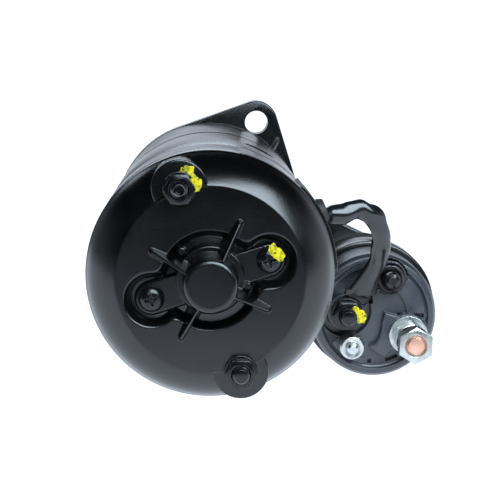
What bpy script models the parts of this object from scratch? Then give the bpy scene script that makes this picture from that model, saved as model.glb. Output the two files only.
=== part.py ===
"""Starter motor for a vehicle engine: a four-pole direct-drive motor with its shift solenoid.

World frame: the motor axis is Y, with the pinion towards +Y and the brush end towards -Y.
The origin is on the axis, at the flange face that seats on the engine. +Z is up, and the
solenoid hangs low on the +X side. All lengths are in metres and all angles in degrees,
measured in the XZ plane from +X towards +Z.
"""

import math

import bmesh
import bpy
from mathutils import Matrix, Vector

# Clearances
FIT = 0.0001            # between parts that are fastened together
RUNNING = 0.0001        # radial, between a shaft and its bush

# Stations along the motor axis
RIM_Y = -0.185          # rear rim of the brush-end cover
FACE_Y = RIM_Y - 0.0125
BOSS_Y = FACE_Y - 0.013
SKIRT_FRONT_Y = RIM_Y + 0.0315
YOKE_FRONT_Y = -0.084
PLATE_FRONT_Y = -0.078
FLANGE_THICKNESS = 0.012
NOSE_WALL_Y = 0.050
NOSE_FRONT_Y = 0.068

# Motor casing
CASE_R = 0.045
COVER_INNER_R = 0.042
FACE_R = 0.0338
BOSS_R = 0.0095
COLLAR_R = 0.0125
YOKE_INNER_R = 0.0395
BRACKET_INNER_R = 0.0385
NOSE_R = 0.031
NOSE_INNER_R = 0.0255
PILOT_R = 0.040
PILOT_HEIGHT = 0.005

# Pattern of features on the rear cover
RIB_ANGLES = (63.0, 153.0, 243.0, 333.0)
SCREW_ANGLES = (18.0, 198.0)
STUD_ANGLES = (108.0, 288.0)
STUD_PITCH_R = 0.0344
STUD_R = 0.003
STUD_PAD_R = 0.010
SCREW_PITCH_R = 0.0219
POCKET_R = 0.0164
POCKET_LOBE_R = 0.0080
POCKET_FLOOR_Y = FACE_Y + 0.005
COVER_FLOOR_Y = -0.189
RIB_REACH_R = 0.0235
RIB_THICKNESS = 0.0025
LEAD_ANGLE = 20.0
LUG_ANGLE = 52.0        # from the motor terminal towards the end of the lead

# Mounting flange
EAR_ANGLE = 63.3
EAR_PITCH_R = 0.0506
EAR_TIP_R = 0.0103
EAR_HOLE_R = 0.0055

# Solenoid
SOLENOID_ANGLE = -23.2
SOLENOID_PITCH_R = 0.0742
CAN_R = 0.0283
CAP_R = 0.0259
CAP_FACE_Y = -0.115
CAP_FRONT_Y = -0.093
CAN_FRONT_Y = -0.0557
MOUNT_REAR_Y = -0.054
MOUNT_FRONT_Y = -0.046

# Shift lever
PIVOT_R = 0.040
PIVOT_Y = -0.033
LEVER_TILT = 8.6
DRIVE_TRAVEL = 0.012
PLUNGER_TRAVEL = 0.0103
LEVER_PAD_R = 0.0035

# Armature and pole pieces
CORE_R = 0.0294
CORE_REAR_Y = -0.148
CORE_FRONT_Y = -0.098
SLOT_COUNT = 9
COMMUTATOR_R = 0.0175
COMMUTATOR_BARS = 12
POLE_FACE_R = 0.0302

MATERIALS = {
    "black_paint": ((0.012, 0.012, 0.013), 0.42, 0.0),
    "zinc_plate": ((0.62, 0.62, 0.60), 0.30, 1.0),
    "black_steel": ((0.030, 0.030, 0.032), 0.38, 0.6),
    "bare_steel": ((0.45, 0.45, 0.46), 0.32, 1.0),
    "copper": ((0.80, 0.42, 0.30), 0.30, 1.0),
    "bronze": ((0.55, 0.38, 0.18), 0.40, 1.0),
    "winding": ((0.30, 0.10, 0.04), 0.45, 0.3),
    "carbon": ((0.05, 0.05, 0.05), 0.60, 0.0),
    "rubber": ((0.02, 0.02, 0.02), 0.75, 0.0),
    "moulded_black": ((0.016, 0.016, 0.017), 0.45, 0.0),
}


def clear_scene():
    for obj in list(bpy.data.objects):
        bpy.data.objects.remove(obj, do_unlink=True)


def material(name):
    """The named finish, made the first time it is asked for."""
    found = bpy.data.materials.get(name)
    if found:
        return found
    colour, roughness, metallic = MATERIALS[name]
    made = bpy.data.materials.new(name)
    made.use_nodes = True
    shader = made.node_tree.nodes["Principled BSDF"]
    shader.inputs["Base Color"].default_value = (*colour, 1.0)
    shader.inputs["Roughness"].default_value = roughness
    shader.inputs["Metallic"].default_value = metallic
    made.diffuse_color = (*colour, 1.0)
    return made


def polar(radius, degrees, y=0.0):
    """A point at a radius and angle from the motor axis."""
    angle = math.radians(degrees)
    return Vector((radius * math.cos(angle), y, radius * math.sin(angle)))


SOLENOID_AXIS = polar(SOLENOID_PITCH_R, SOLENOID_ANGLE)


def finish(name, bm, finish_name="black_paint", at=(0.0, 0.0, 0.0), turn=0.0):
    """Make a bmesh an object. turn swings its local X axis to that angle about Y."""
    bmesh.ops.recalc_face_normals(bm, faces=bm.faces)
    mesh = bpy.data.meshes.new(name)
    bm.to_mesh(mesh)
    bm.free()
    mesh.shade_smooth()
    mesh.set_sharp_from_angle(angle=math.radians(32.0))
    obj = bpy.data.objects.new(name, mesh)
    bpy.context.scene.collection.objects.link(obj)
    obj.location = at
    obj.rotation_mode = "ZXY"
    obj.rotation_euler = (0.0, -math.radians(turn), 0.0)
    mesh.materials.append(material(finish_name))
    return obj


def turned(profile, segments=32):
    """Spin a profile of (radius, y) points about the Y axis; ends on the axis get flat caps."""
    bm = bmesh.new()
    verts = [bm.verts.new((radius, y, 0.0)) for radius, y in profile if radius > 0.0]
    edges = [bm.edges.new(pair) for pair in zip(verts, verts[1:])]
    open_ended = len(verts) < len(profile)
    if not open_ended:
        edges.append(bm.edges.new((verts[-1], verts[0])))
    bmesh.ops.spin(bm, geom=verts + edges, cent=(0, 0, 0), axis=(0, 1, 0),
                   angle=math.tau, steps=segments, use_merge=True)
    bmesh.ops.remove_doubles(bm, verts=bm.verts, dist=1e-6)
    if open_ended:
        bmesh.ops.holes_fill(bm, edges=[edge for edge in bm.edges if edge.is_boundary], sides=0)
    return bm


def rod(radius, rear_y, front_y, segments=16):
    return turned([(0.0, rear_y), (radius, rear_y), (radius, front_y), (0.0, front_y)], segments)


def ring(inner_r, outer_r, rear_y, front_y, segments=24):
    return turned([(inner_r, rear_y), (outer_r, rear_y), (outer_r, front_y), (inner_r, front_y)],
                  segments)


def prism(outline, low, high, axis="Y"):
    """Extrude an outline along Y, from (x, z) points, or along Z, from (x, y) points."""
    bm = bmesh.new()
    if axis == "Y":
        verts = [bm.verts.new((a, low, b)) for a, b in outline]
        step = Vector((0.0, high - low, 0.0))
    else:
        verts = [bm.verts.new((a, b, low)) for a, b in outline]
        step = Vector((0.0, 0.0, high - low))
    face = bm.faces.new(verts)
    grown = bmesh.ops.extrude_face_region(bm, geom=[face])
    moved = [item for item in grown["geom"] if isinstance(item, bmesh.types.BMVert)]
    bmesh.ops.translate(bm, verts=moved, vec=step)
    return bm


def block(low, high):
    """A box between two corners."""
    corners = [(low[0], low[2]), (high[0], low[2]), (high[0], high[2]), (low[0], high[2])]
    return prism(corners, low[1], high[1])


def arc(radius, start, end, steps):
    """Points (x, z) along an arc about the origin."""
    points = []
    for step in range(steps + 1):
        point = polar(radius, start + (end - start) * step / steps)
        points.append((point.x, point.z))
    return points


def sector(inner_r, outer_r, half_angle, low, high, steps=8):
    """A curved block about Y, centred on local X."""
    outline = arc(outer_r, -half_angle, half_angle, steps)
    outline += arc(inner_r, half_angle, -half_angle, steps)
    return prism(outline, low, high)


def circle(radius, centre=(0.0, 0.0), steps=24):
    return [(centre[0] + x, centre[1] + z) for x, z in arc(radius, 0.0, 360.0, steps)[:-1]]


def hull(points):
    """The convex outline around (x, z) points."""
    def half(ordered):
        chain = []
        for point in ordered:
            while len(chain) > 1 and turn_of(chain[-2], chain[-1], point) <= 0.0:
                chain.pop()
            chain.append(point)
        return chain[:-1]

    def turn_of(a, b, c):
        return (b[0] - a[0]) * (c[1] - a[1]) - (b[1] - a[1]) * (c[0] - a[0])

    ordered = sorted(points)
    return half(ordered) + half(ordered[::-1])


def joined(pieces):
    """Several bmeshes as one, for use as a single cutting or joining tool."""
    whole = bmesh.new()
    for piece in pieces:
        mesh = bpy.data.meshes.new("piece")
        piece.to_mesh(mesh)
        piece.free()
        whole.from_mesh(mesh)
        bpy.data.meshes.remove(mesh)
    return whole


def lying(bm):
    """Swing a shape made along Y so that it points along local +X, outwards."""
    bmesh.ops.rotate(bm, verts=bm.verts, cent=(0, 0, 0), matrix=Matrix.Rotation(-math.pi / 2, 3, "Z"))
    return bm


def across(bm):
    """Swing a shape made along Y so that it lies along local Z, crosswise."""
    bmesh.ops.rotate(bm, verts=bm.verts, cent=(0, 0, 0), matrix=Matrix.Rotation(math.pi / 2, 3, "X"))
    return bm


def moved(bm, by):
    bmesh.ops.translate(bm, verts=bm.verts, vec=Vector(by))
    return bm


def combine(obj, operation, tool, at=(0.0, 0.0, 0.0), turn=0.0):
    """Add a bmesh to an object, or cut it out, with an exact Boolean."""
    helper = finish("tool", tool, obj.data.materials[0].name, at, turn)
    change = obj.modifiers.new("change", "BOOLEAN")
    change.operation = operation
    change.solver = "EXACT"
    change.object = helper
    bpy.context.view_layer.update()
    graph = bpy.context.evaluated_depsgraph_get()
    mesh = bpy.data.meshes.new_from_object(obj.evaluated_get(graph))
    obj.modifiers.clear()
    obj.data = mesh
    mesh.name = obj.name
    bpy.data.objects.remove(helper, do_unlink=True)


def add(obj, tool, at=(0.0, 0.0, 0.0), turn=0.0):
    combine(obj, "UNION", tool, at, turn)


def cut(obj, tool, at=(0.0, 0.0, 0.0), turn=0.0):
    combine(obj, "DIFFERENCE", tool, at, turn)


def hexagon(across_flats, turn=0.0):
    radius = across_flats / math.sqrt(3.0)
    return [(x, z) for x, z in arc(radius, turn, turn + 360.0, 6)[:-1]]


def hex_nut(name, across_flats, bore_r, rear_y, front_y, at, finish_name, turn=30.0):
    nut = finish(name, prism(hexagon(across_flats, turn), rear_y, front_y), finish_name, at)
    cut(nut, rod(bore_r, rear_y - 0.001, front_y + 0.001), at)
    return nut


# Motor casing

def make_rear_cover():
    wall = [
        (0.0, FACE_Y), (FACE_R, FACE_Y), (0.0392, FACE_Y + 0.0032), (0.0430, FACE_Y + 0.0078),
        (0.0446, RIM_Y - 0.0006), (CASE_R, RIM_Y + 0.0012), (CASE_R, SKIRT_FRONT_Y),
        (COVER_INNER_R, SKIRT_FRONT_Y), (COVER_INNER_R, RIM_Y + 0.001), (0.0325, FACE_Y + 0.0035),
        (0.0310, COVER_FLOOR_Y), (0.0, COVER_FLOOR_Y),
    ]
    cover = finish("rear_cover", turned(wall, 36))
    for angle in STUD_ANGLES:
        add(cover, rod(STUD_PAD_R, FACE_Y, COVER_FLOOR_Y, 20), polar(STUD_PITCH_R, angle))
    pad = sector(0.0438, 0.0464, 12.5, RIM_Y + 0.002, SKIRT_FRONT_Y - 0.0002)
    add(cover, pad, turn=17.5)
    cut(cover, rod(POCKET_R, FACE_Y - 0.01, POCKET_FLOOR_Y, 32))
    for angle in SCREW_ANGLES:
        centre = polar(SCREW_PITCH_R, angle)
        cut(cover, rod(POCKET_LOBE_R, FACE_Y - 0.01, POCKET_FLOOR_Y, 16), centre)
        add(cover, rod(0.0058, FACE_Y + 0.003, POCKET_FLOOR_Y + 0.001, 14), centre)
        cut(cover, rod(0.0027, FACE_Y - 0.01, COVER_FLOOR_Y + 0.01, 12), centre)
    boss = [
        (0.0, BOSS_Y), (BOSS_R - 0.0016, BOSS_Y), (BOSS_R, BOSS_Y + 0.0016), (BOSS_R, FACE_Y - 0.002),
        (COLLAR_R, FACE_Y - 0.0008), (COLLAR_R, POCKET_FLOOR_Y + 0.001), (0.0, POCKET_FLOOR_Y + 0.001),
    ]
    add(cover, turned(boss, 24))
    rib = [
        (0.006, POCKET_FLOOR_Y + 0.001), (0.006, BOSS_Y + 0.0014), (BOSS_R, BOSS_Y + 0.0014),
        (RIB_REACH_R - 0.001, FACE_Y - 0.0022), (RIB_REACH_R, FACE_Y - 0.001),
        (RIB_REACH_R, POCKET_FLOOR_Y + 0.001),
    ]
    for angle in RIB_ANGLES:
        add(cover, prism(rib, -RIB_THICKNESS / 2, RIB_THICKNESS / 2, "Z"), turn=angle)
    for angle in STUD_ANGLES:
        cut(cover, rod(STUD_R + 0.0003, FACE_Y - 0.01, 0.0, 12), polar(STUD_PITCH_R, angle))
    cut(cover, rod(0.00755, BOSS_Y + 0.0025, COVER_FLOOR_Y + 0.01, 24))


def make_yoke():
    yoke = finish("yoke", ring(YOKE_INNER_R, CASE_R, SKIRT_FRONT_Y + FIT, YOKE_FRONT_Y, 36))
    hole = sector(0.030, 0.050, 6.5, SKIRT_FRONT_Y - 0.01, -0.1417, 4)
    cut(yoke, hole, turn=LEAD_ANGLE + 4.0)
    middle = (SKIRT_FRONT_Y + YOKE_FRONT_Y) / 2
    for angle in RIB_ANGLES:
        centre = (0.0, middle, 0.0)
        cut(yoke, lying(rod(0.0061, 0.0413, 0.05, 12)), centre, angle)
        cut(yoke, lying(rod(0.0037, 0.035, 0.05, 12)), centre, angle)


def make_cable_grommet():
    turn = LEAD_ANGLE + 4.0
    grommet = finish("cable_grommet", sector(0.0400, 0.0470, 6.2, SKIRT_FRONT_Y + 0.0003, -0.1420, 4),
                     "rubber", turn=turn)
    add(grommet, sector(CASE_R + 0.0002, 0.0476, 11.0, SKIRT_FRONT_Y + 0.0003, -0.1385, 8), turn=turn)


def make_centre_plate():
    plate = finish("centre_bearing_plate",
                   turned([(0.0086, -0.088), (0.012, -0.088), (0.014, YOKE_FRONT_Y + FIT),
                           (CASE_R - 0.0004, YOKE_FRONT_Y + FIT), (CASE_R - 0.0004, PLATE_FRONT_Y),
                           (0.014, PLATE_FRONT_Y), (0.012, -0.074), (0.0086, -0.074)], 24))
    for angle in STUD_ANGLES:
        cut(plate, rod(STUD_R + 0.0003, -0.1, -0.07, 12), polar(STUD_PITCH_R, angle))


def make_drive_end_bracket():
    shell = [
        (0.0, -0.060), (0.0285, -0.060), (0.0285, PLATE_FRONT_Y + FIT),
        (CASE_R - 0.0004, PLATE_FRONT_Y + FIT),
        (CASE_R + 0.0003, -0.012), (CASE_R + 0.0003, -0.004), (PILOT_R, -0.004), (PILOT_R, PILOT_HEIGHT),
        (NOSE_R + 0.003, PILOT_HEIGHT), (NOSE_R, 0.009), (NOSE_R, 0.047), (0.026, 0.053), (0.015, 0.056),
        (0.0135, NOSE_FRONT_Y), (0.0, NOSE_FRONT_Y),
    ]
    bracket = finish("drive_end_bracket", turned(shell, 36))
    ears = circle(CASE_R + 0.0012, steps=30)
    for angle in (EAR_ANGLE, EAR_ANGLE + 180.0):
        tip = polar(EAR_PITCH_R, angle)
        ears += circle(EAR_TIP_R, (tip.x, tip.z), 18)
    add(bracket, prism(hull(ears), -FLANGE_THICKNESS, 0.0))
    mount = hull(circle(0.030, (0.020, 0.0)) + circle(0.0270, (SOLENOID_PITCH_R, 0.0)))
    add(bracket, prism(mount, MOUNT_REAR_Y, MOUNT_FRONT_Y), turn=SOLENOID_ANGLE)
    housing = [(0.020, -0.0535), (0.088, -0.0535), (0.090, -0.047), (0.088, -0.012), (0.078, -0.006),
               (0.020, -0.006)]
    add(bracket, prism(housing, -0.0165, 0.0165, "Z"), turn=SOLENOID_ANGLE)
    bore = [
        (0.0, -0.0625), (0.0270, -0.0625), (BRACKET_INNER_R, -0.058),
        (BRACKET_INNER_R, -0.014), (NOSE_INNER_R + 0.002, -0.008), (NOSE_INNER_R, -0.004),
        (NOSE_INNER_R, NOSE_WALL_Y - 0.003), (0.021, NOSE_WALL_Y), (0.0, NOSE_WALL_Y),
    ]
    cut(bracket, turned(bore, 28))
    cavity = [(0.010, -0.050), (0.084, -0.050), (0.085, -0.046), (0.084, -0.016), (0.076, -0.0105),
              (0.010, -0.0105)]
    cut(bracket, prism(cavity, -0.0125, 0.0125, "Z"), turn=SOLENOID_ANGLE)
    cut(bracket, rod(0.0125, MOUNT_REAR_Y - 0.01, -0.040, 24), SOLENOID_AXIS)
    cut(bracket, rod(0.00808, NOSE_WALL_Y - 0.01, NOSE_FRONT_Y - 0.002, 24))
    window = block((0.0, 0.014, -0.040), (0.050, 0.046, 0.040))
    cut(bracket, moved(window, (0.008, 0.0, 0.0)), turn=SOLENOID_ANGLE + 180.0)
    for angle in (EAR_ANGLE, EAR_ANGLE + 180.0):
        cut(bracket, rod(EAR_HOLE_R, -0.03, 0.01, 20), polar(EAR_PITCH_R, angle))
    for angle in STUD_ANGLES:
        cut(bracket, rod(STUD_R + 0.0003, -0.1, -0.059, 12), polar(STUD_PITCH_R, angle))
    pin = across(rod(0.0035, -0.025, 0.025, 16))
    cut(bracket, moved(pin, (PIVOT_R, PIVOT_Y, 0.0)), turn=SOLENOID_ANGLE)
    for side in (-1.0, 1.0):
        hole = moved(rod(0.0029, -0.07, -0.03, 12), (SOLENOID_PITCH_R, 0.0, side * 0.0215))
        cut(bracket, hole, turn=SOLENOID_ANGLE)


def make_bushes():
    finish("rear_bush", ring(0.006 + RUNNING, 0.0074, BOSS_Y + 0.003, COVER_FLOOR_Y - 0.0005), "bronze")
    finish("nose_bush", ring(0.006 + RUNNING, 0.0079, NOSE_WALL_Y + 0.001, NOSE_FRONT_Y - 0.0025),
           "bronze")


def make_through_studs():
    for word, angle in zip(("upper", "lower"), STUD_ANGLES):
        at = polar(STUD_PITCH_R, angle)
        end = FACE_Y - 0.0085
        stud = turned([(0.0, end), (STUD_R - 0.0008, end), (STUD_R, end + 0.0008), (STUD_R, -0.062),
                       (0.0, -0.062)], 12)
        finish("through_stud_" + word, stud, "black_steel", at)
        hex_nut("stud_nut_" + word, 0.010, STUD_R + FIT, FACE_Y - 0.0058, FACE_Y - FIT, at, "black_steel")


def make_cover_screws():
    for word, angle in zip(("right", "left"), SCREW_ANGLES):
        head_y = FACE_Y - 0.0004
        seat_y = FACE_Y + 0.003 - FIT
        shape = turned([(0.0, head_y), (0.0030, head_y), (0.0046, head_y + 0.0014), (0.0046, seat_y),
                        (0.0024, seat_y), (0.0024, -0.1855), (0.0, -0.1855)], 16)
        screw = finish("cover_screw_" + word, shape, "black_steel", polar(SCREW_PITCH_R, angle), angle)
        for swing in (0.0, 90.0):
            cross = block((-0.0026, head_y - 0.001, -0.0005), (0.0026, head_y + 0.0018, 0.0005))
            cut(screw, cross, polar(SCREW_PITCH_R, angle), angle + swing)


# Brush gear

def make_brush_gear():
    plate = finish("brush_plate", ring(0.0095, 0.0300, COVER_FLOOR_Y + FIT, COVER_FLOOR_Y + 0.0016, 28),
                   "zinc_plate")
    for angle in RIB_ANGLES:
        box = block((0.0195, COVER_FLOOR_Y + 0.001, -0.0065), (0.0350, -0.1690, 0.0065))
        add(plate, box, turn=angle)
        channel = block((0.015, -0.1855, -0.0052), (0.040, -0.1705, 0.0052))
        cut(plate, channel, turn=angle)
    for angle in SCREW_ANGLES:
        cut(plate, rod(0.0026, -0.2, -0.18, 12), polar(SCREW_PITCH_R, angle))
    for number, angle in enumerate(RIB_ANGLES, 1):
        brush = block((COMMUTATOR_R + 0.0003, -0.1852, -0.0049), (0.0290, -0.1708, 0.0049))
        finish("brush_%d" % number, brush, "carbon", turn=angle)
        spring = lying(coil_spring(0.0037, 0.0005, 0.0294, 0.0375, 2))
        finish("brush_spring_%d" % number, moved(spring, (0.0, -0.178, 0.0)), "bare_steel", turn=angle)


def coil_spring(radius, wire_r, low, high, turns, per_turn=8, sides=4):
    """A closed helical spring along Y, between low and high."""
    bm = bmesh.new()
    count = turns * per_turn
    length = high - low - 2 * wire_r
    rings = []
    for step in range(count + 1):
        angle = math.tau * step / per_turn
        centre = Vector((radius * math.cos(angle), low + wire_r + length * step / count,
                         radius * math.sin(angle)))
        outward = Vector((math.cos(angle), 0.0, math.sin(angle)))
        loop = []
        for side in range(sides):
            turn = math.tau * side / sides
            offset = outward * math.cos(turn) + Vector((0.0, math.sin(turn), 0.0))
            loop.append(bm.verts.new(centre + offset * wire_r))
        rings.append(loop)
    for start, end in zip(rings, rings[1:]):
        for side in range(sides):
            after = (side + 1) % sides
            bm.faces.new((start[side], start[after], end[after], end[side]))
    bm.faces.new(rings[0][::-1])
    bm.faces.new(rings[-1])
    return bm


# Field: poles, winding and the screws that hold the poles to the yoke

def make_field():
    middle = (SKIRT_FRONT_Y + YOKE_FRONT_Y) / 2
    for number, angle in enumerate(RIB_ANGLES, 1):
        outline = arc(POLE_FACE_R, 32.0, -32.0, 6) + arc(0.0326, -32.0, -17.0, 3)
        outline += arc(YOKE_INNER_R - 0.0003, -17.0, 17.0, 4) + arc(0.0326, 17.0, 32.0, 3)
        pole = finish("pole_shoe_%d" % number, prism(outline, -0.150, -0.094), "bare_steel", turn=angle)
        cut(pole, lying(rod(0.0035, 0.0330, 0.045, 12)), (0.0, middle, 0.0), angle)
        profile = [(0.0, 0.0335), (0.0034, 0.0335), (0.0034, 0.0415), (0.0059, 0.0415),
                   (0.0059, 0.0440), (0.0, 0.0440)]
        screw = finish("pole_screw_%d" % number, lying(turned(profile, 12)), "black_steel",
                       (0.0, middle, 0.0), angle)
        slot = block((0.0424, -0.0007, -0.01), (0.05, 0.0007, 0.01))
        cut(screw, slot, (0.0, middle, 0.0), angle)
    winding = None
    for angle in RIB_ANGLES:
        coil = sector(0.0329, 0.0389, 35.0, -0.156, -0.0885, 6)
        if winding is None:
            winding = finish("field_winding", coil, "winding", turn=angle)
        else:
            add(winding, coil, turn=angle)
    add(winding, ring(0.0376, 0.0388, -0.159, -0.1555, 28))
    for angle in RIB_ANGLES:
        cut(winding, sector(0.030, 0.042, 18.5, -0.1505, -0.0935, 3), turn=angle)


# Armature

def make_armature():
    shaft = [
        (0.0, BOSS_Y + 0.0035), (0.0060, BOSS_Y + 0.0035), (0.0060, -0.1870), (0.0080, -0.1870),
        (0.0080, -0.0900), (0.0085, -0.0900), (0.0085, -0.0730), (0.0080, -0.0730), (0.0080, -0.0220),
        (0.0064, -0.0220), (0.0064, 0.0400), (0.0060, 0.0400), (0.0060, 0.0640), (0.0, 0.0640),
    ]
    finish("armature_shaft", turned(shaft, 16), "bare_steel")
    pitch = 360.0 / SLOT_COUNT
    slot_half = 7.0
    outline = []
    for slot in range(SLOT_COUNT):
        start = slot * pitch
        outline += arc(CORE_R, start + slot_half, start + pitch - slot_half, 3)
        outline += arc(0.0195, start + pitch - slot_half, start + pitch + slot_half, 1)
    core = finish("armature_core", prism(outline, CORE_REAR_Y, CORE_FRONT_Y), "bare_steel")
    cut(core, rod(0.0081, -0.2, -0.05, 24))
    bars = []
    for slot in range(SLOT_COUNT):
        bar = sector(0.0199, 0.0284, slot_half - 1.2, CORE_REAR_Y - 0.001, CORE_FRONT_Y + 0.001, 1)
        bmesh.ops.rotate(bar, verts=bar.verts, cent=(0, 0, 0),
                         matrix=Matrix.Rotation(math.radians(slot * pitch), 3, "Y"))
        bars.append(bar)
    rear = turned([(0.0083, -0.1603), (0.0175, -0.1603), (0.0275, -0.1560), (0.0285, CORE_REAR_Y - 0.0003),
                   (0.0083, CORE_REAR_Y - 0.0003)], 18)
    winding = finish("armature_winding", rear, "winding")
    add(winding, joined(bars))
    add(winding, turned([(0.0088, -0.0905), (0.0083, CORE_FRONT_Y + 0.0003), (0.0285, CORE_FRONT_Y + 0.0003),
                         (0.0275, -0.0935), (0.020, -0.0905)], 18))
    bars_outline = []
    for bar in range(COMMUTATOR_BARS):
        start = bar * 360.0 / COMMUTATOR_BARS
        bars_outline += arc(COMMUTATOR_R, start, start + 26.0, 2)
        bars_outline += arc(0.0165, start + 26.4, start + 29.6, 1)
    commutator = finish("commutator", prism(bars_outline, -0.1840, -0.1608), "copper")
    cut(commutator, rod(0.0081, -0.2, -0.15, 24))


# Drive assembly: slides on the shaft, and its pinion freewheels

def make_drive():
    groove_y = PIVOT_Y - PIVOT_R * math.sin(math.radians(LEVER_TILT))
    sleeve = [
        (0.0082, groove_y - 0.0095), (0.0170, groove_y - 0.0095), (0.0170, groove_y - 0.0065),
        (0.0110, groove_y - 0.0065), (0.0110, groove_y + 0.0065), (0.0170, groove_y + 0.0065),
        (0.0170, groove_y + 0.0095), (0.0110, groove_y + 0.0095), (0.0110, -0.0210), (0.0082, -0.0210),
    ]
    finish("drive_sleeve", turned(sleeve, 24), "bare_steel")
    clutch = [
        (0.0112, -0.0275), (0.0220, -0.0275), (0.0235, -0.0260), (0.0235, -0.0020), (0.0225, -0.0010),
        (0.0125, -0.0010), (0.0125, -0.0030), (0.0190, -0.0030), (0.0190, -0.0200), (0.0112, -0.0200),
    ]
    finish("clutch_housing", turned(clutch, 28), "bare_steel")
    teeth = 10
    outline = []
    for tooth in range(teeth):
        start = tooth * 360.0 / teeth
        outline += arc(0.0112, start - 10.5, start - 7.5, 1)
        outline += [(p.x, p.z) for p in (polar(0.0130, start - 5.6), polar(0.0150, start - 2.6),
                                         polar(0.0150, start + 2.6), polar(0.0130, start + 5.6))]
        outline += arc(0.0112, start + 7.5, start + 10.5, 1)
    pinion = finish("pinion", prism(outline, 0.0010, 0.0220), "bare_steel")
    add(pinion, turned([(0.0, -0.0195), (0.0140, -0.0195), (0.0140, -0.0040), (0.0105, -0.0035),
                        (0.0105, 0.0020), (0.0, 0.0020)], 24))
    cut(pinion, rod(0.00655, -0.03, 0.03, 24))
    finish("pinion_stop_ring", ring(0.00645, 0.0095, 0.0346, 0.0386), "bare_steel")


# Shift lever

def make_lever():
    upper = SOLENOID_PITCH_R - PIVOT_R
    at = polar(PIVOT_R, SOLENOID_ANGLE, PIVOT_Y)
    hub = across(rod(0.0070, -0.0110, 0.0110, 18))
    lever = finish("shift_lever", hub, "black_steel")
    web = hull(circle(0.0040, (-0.013, 0.0), 12) + circle(0.0062, (0.0, 0.0), 16)
               + circle(0.0040, (0.016, 0.0), 12))
    add(lever, prism(web, -0.0095, 0.0095, "Z"))
    for side in (-1.0, 1.0):
        top = hull(circle(0.0040, (upper, 0.0), 16) + circle(0.0040, (0.014, 0.0), 12))
        low, high = sorted((side * 0.0056, side * 0.0095))
        add(lever, prism(top, low, high, "Z"))
        tine = hull(circle(LEVER_PAD_R, (-PIVOT_R, 0.0), 16) + circle(0.0036, (-0.022, 0.0), 12))
        low, high = sorted((side * 0.0116, side * 0.0156))
        add(lever, prism(tine, low, high, "Z"))
        shoulder = hull(circle(0.0036, (-0.022, 0.0), 12) + circle(0.0040, (-0.012, 0.0), 12))
        low, high = sorted((side * 0.0060, side * 0.0156))
        add(lever, prism(shoulder, low, high, "Z"))
    cut(lever, across(rod(0.0035, -0.03, 0.03, 16)))
    lever.location = at
    lever.rotation_euler = (0.0, -math.radians(SOLENOID_ANGLE), math.radians(LEVER_TILT))
    pin = across(rod(0.0033, -0.0165, 0.0165, 16))
    finish("lever_pivot_pin", pin, "zinc_plate", at, SOLENOID_ANGLE)


# Solenoid

def make_solenoid():
    at = SOLENOID_AXIS
    can = [
        (0.0106, CAN_FRONT_Y - 0.008), (0.0253, CAN_FRONT_Y - 0.008), (0.0253, CAP_FRONT_Y + FIT),
        (CAN_R, CAP_FRONT_Y + FIT), (CAN_R, CAN_FRONT_Y - 0.001), (CAN_R - 0.001, CAN_FRONT_Y),
        (0.0106, CAN_FRONT_Y),
    ]
    can = finish("solenoid_can", turned(can, 36), at=at, turn=SOLENOID_ANGLE)
    for side in (-1.0, 1.0):
        hole = moved(rod(0.0027, CAN_FRONT_Y - 0.0075, CAN_FRONT_Y + 0.01, 12), (0.0, 0.0, side * 0.0215))
        cut(can, hole, at, SOLENOID_ANGLE)
        shape = turned([(0.0, -0.0630), (0.0025, -0.0630), (0.0025, MOUNT_FRONT_Y + FIT),
                        (0.0042, MOUNT_FRONT_Y + FIT), (0.0042, -0.0425), (0.0, -0.0425)], 12)
        word = "upper" if side > 0 else "lower"
        finish("solenoid_screw_" + word, moved(shape, (0.0, 0.0, side * 0.0215)), "zinc_plate", at,
               SOLENOID_ANGLE)
    gasket = finish("solenoid_gasket", ring(0.0130, 0.0268, CAN_FRONT_Y + FIT, MOUNT_REAR_Y - FIT, 30),
                    "rubber", at, SOLENOID_ANGLE)
    for side in (-1.0, 1.0):
        hole = moved(rod(0.0029, -0.07, -0.04, 12), (0.0, 0.0, side * 0.0215))
        cut(gasket, hole, at, SOLENOID_ANGLE)
    core = [
        (0.0024, CAP_FRONT_Y + 0.0002), (0.0251, CAP_FRONT_Y + 0.0002), (0.0251, -0.0885),
        (0.0100, -0.0885), (0.0100, -0.0852), (0.0024, -0.0852),
    ]
    finish("solenoid_core", turned(core, 24), "bare_steel", at)
    finish("solenoid_coil", ring(0.0118, 0.0250, -0.0883, -0.0640, 28), "winding", at)
    plunger = [
        (0.0, -0.0606), (0.0084, -0.0606), (0.0084, -0.0746), (0.0102, -0.0746), (0.0102, -0.0500),
        (0.0050, -0.0500), (0.0050, -0.0364), (0.0090, -0.0364), (0.0090, -0.0334), (0.0050, -0.0334),
        (0.0050, -0.0224), (0.0090, -0.0224), (0.0090, -0.0194), (0.0, -0.0194),
    ]
    finish("solenoid_plunger", turned(plunger, 20), "bare_steel", at)
    finish("plunger_spring", coil_spring(0.0068, 0.0007, -0.0850, -0.0608, 5), "bare_steel", at)
    rod_front = -0.0691
    bridge = [
        (0.0, -0.0995), (0.0022, -0.0995), (0.0022, -0.0980), (0.0180, -0.0980), (0.0180, -0.0960),
        (0.0020, -0.0960), (0.0020, rod_front), (0.0, rod_front),
    ]
    finish("contact_bridge", turned(bridge, 20), "copper", at)


def terminal(radius, angle):
    """A point on the solenoid's end cap, from the solenoid's own axis."""
    return SOLENOID_AXIS + polar(radius, angle)


BATTERY_AT = terminal(0.0158, -29.0)
MOTOR_AT = terminal(0.0130, 165.0)
SWITCH_AT = terminal(0.0155, 231.0)
RETURN_AT = terminal(0.0174, 70.0)


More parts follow.
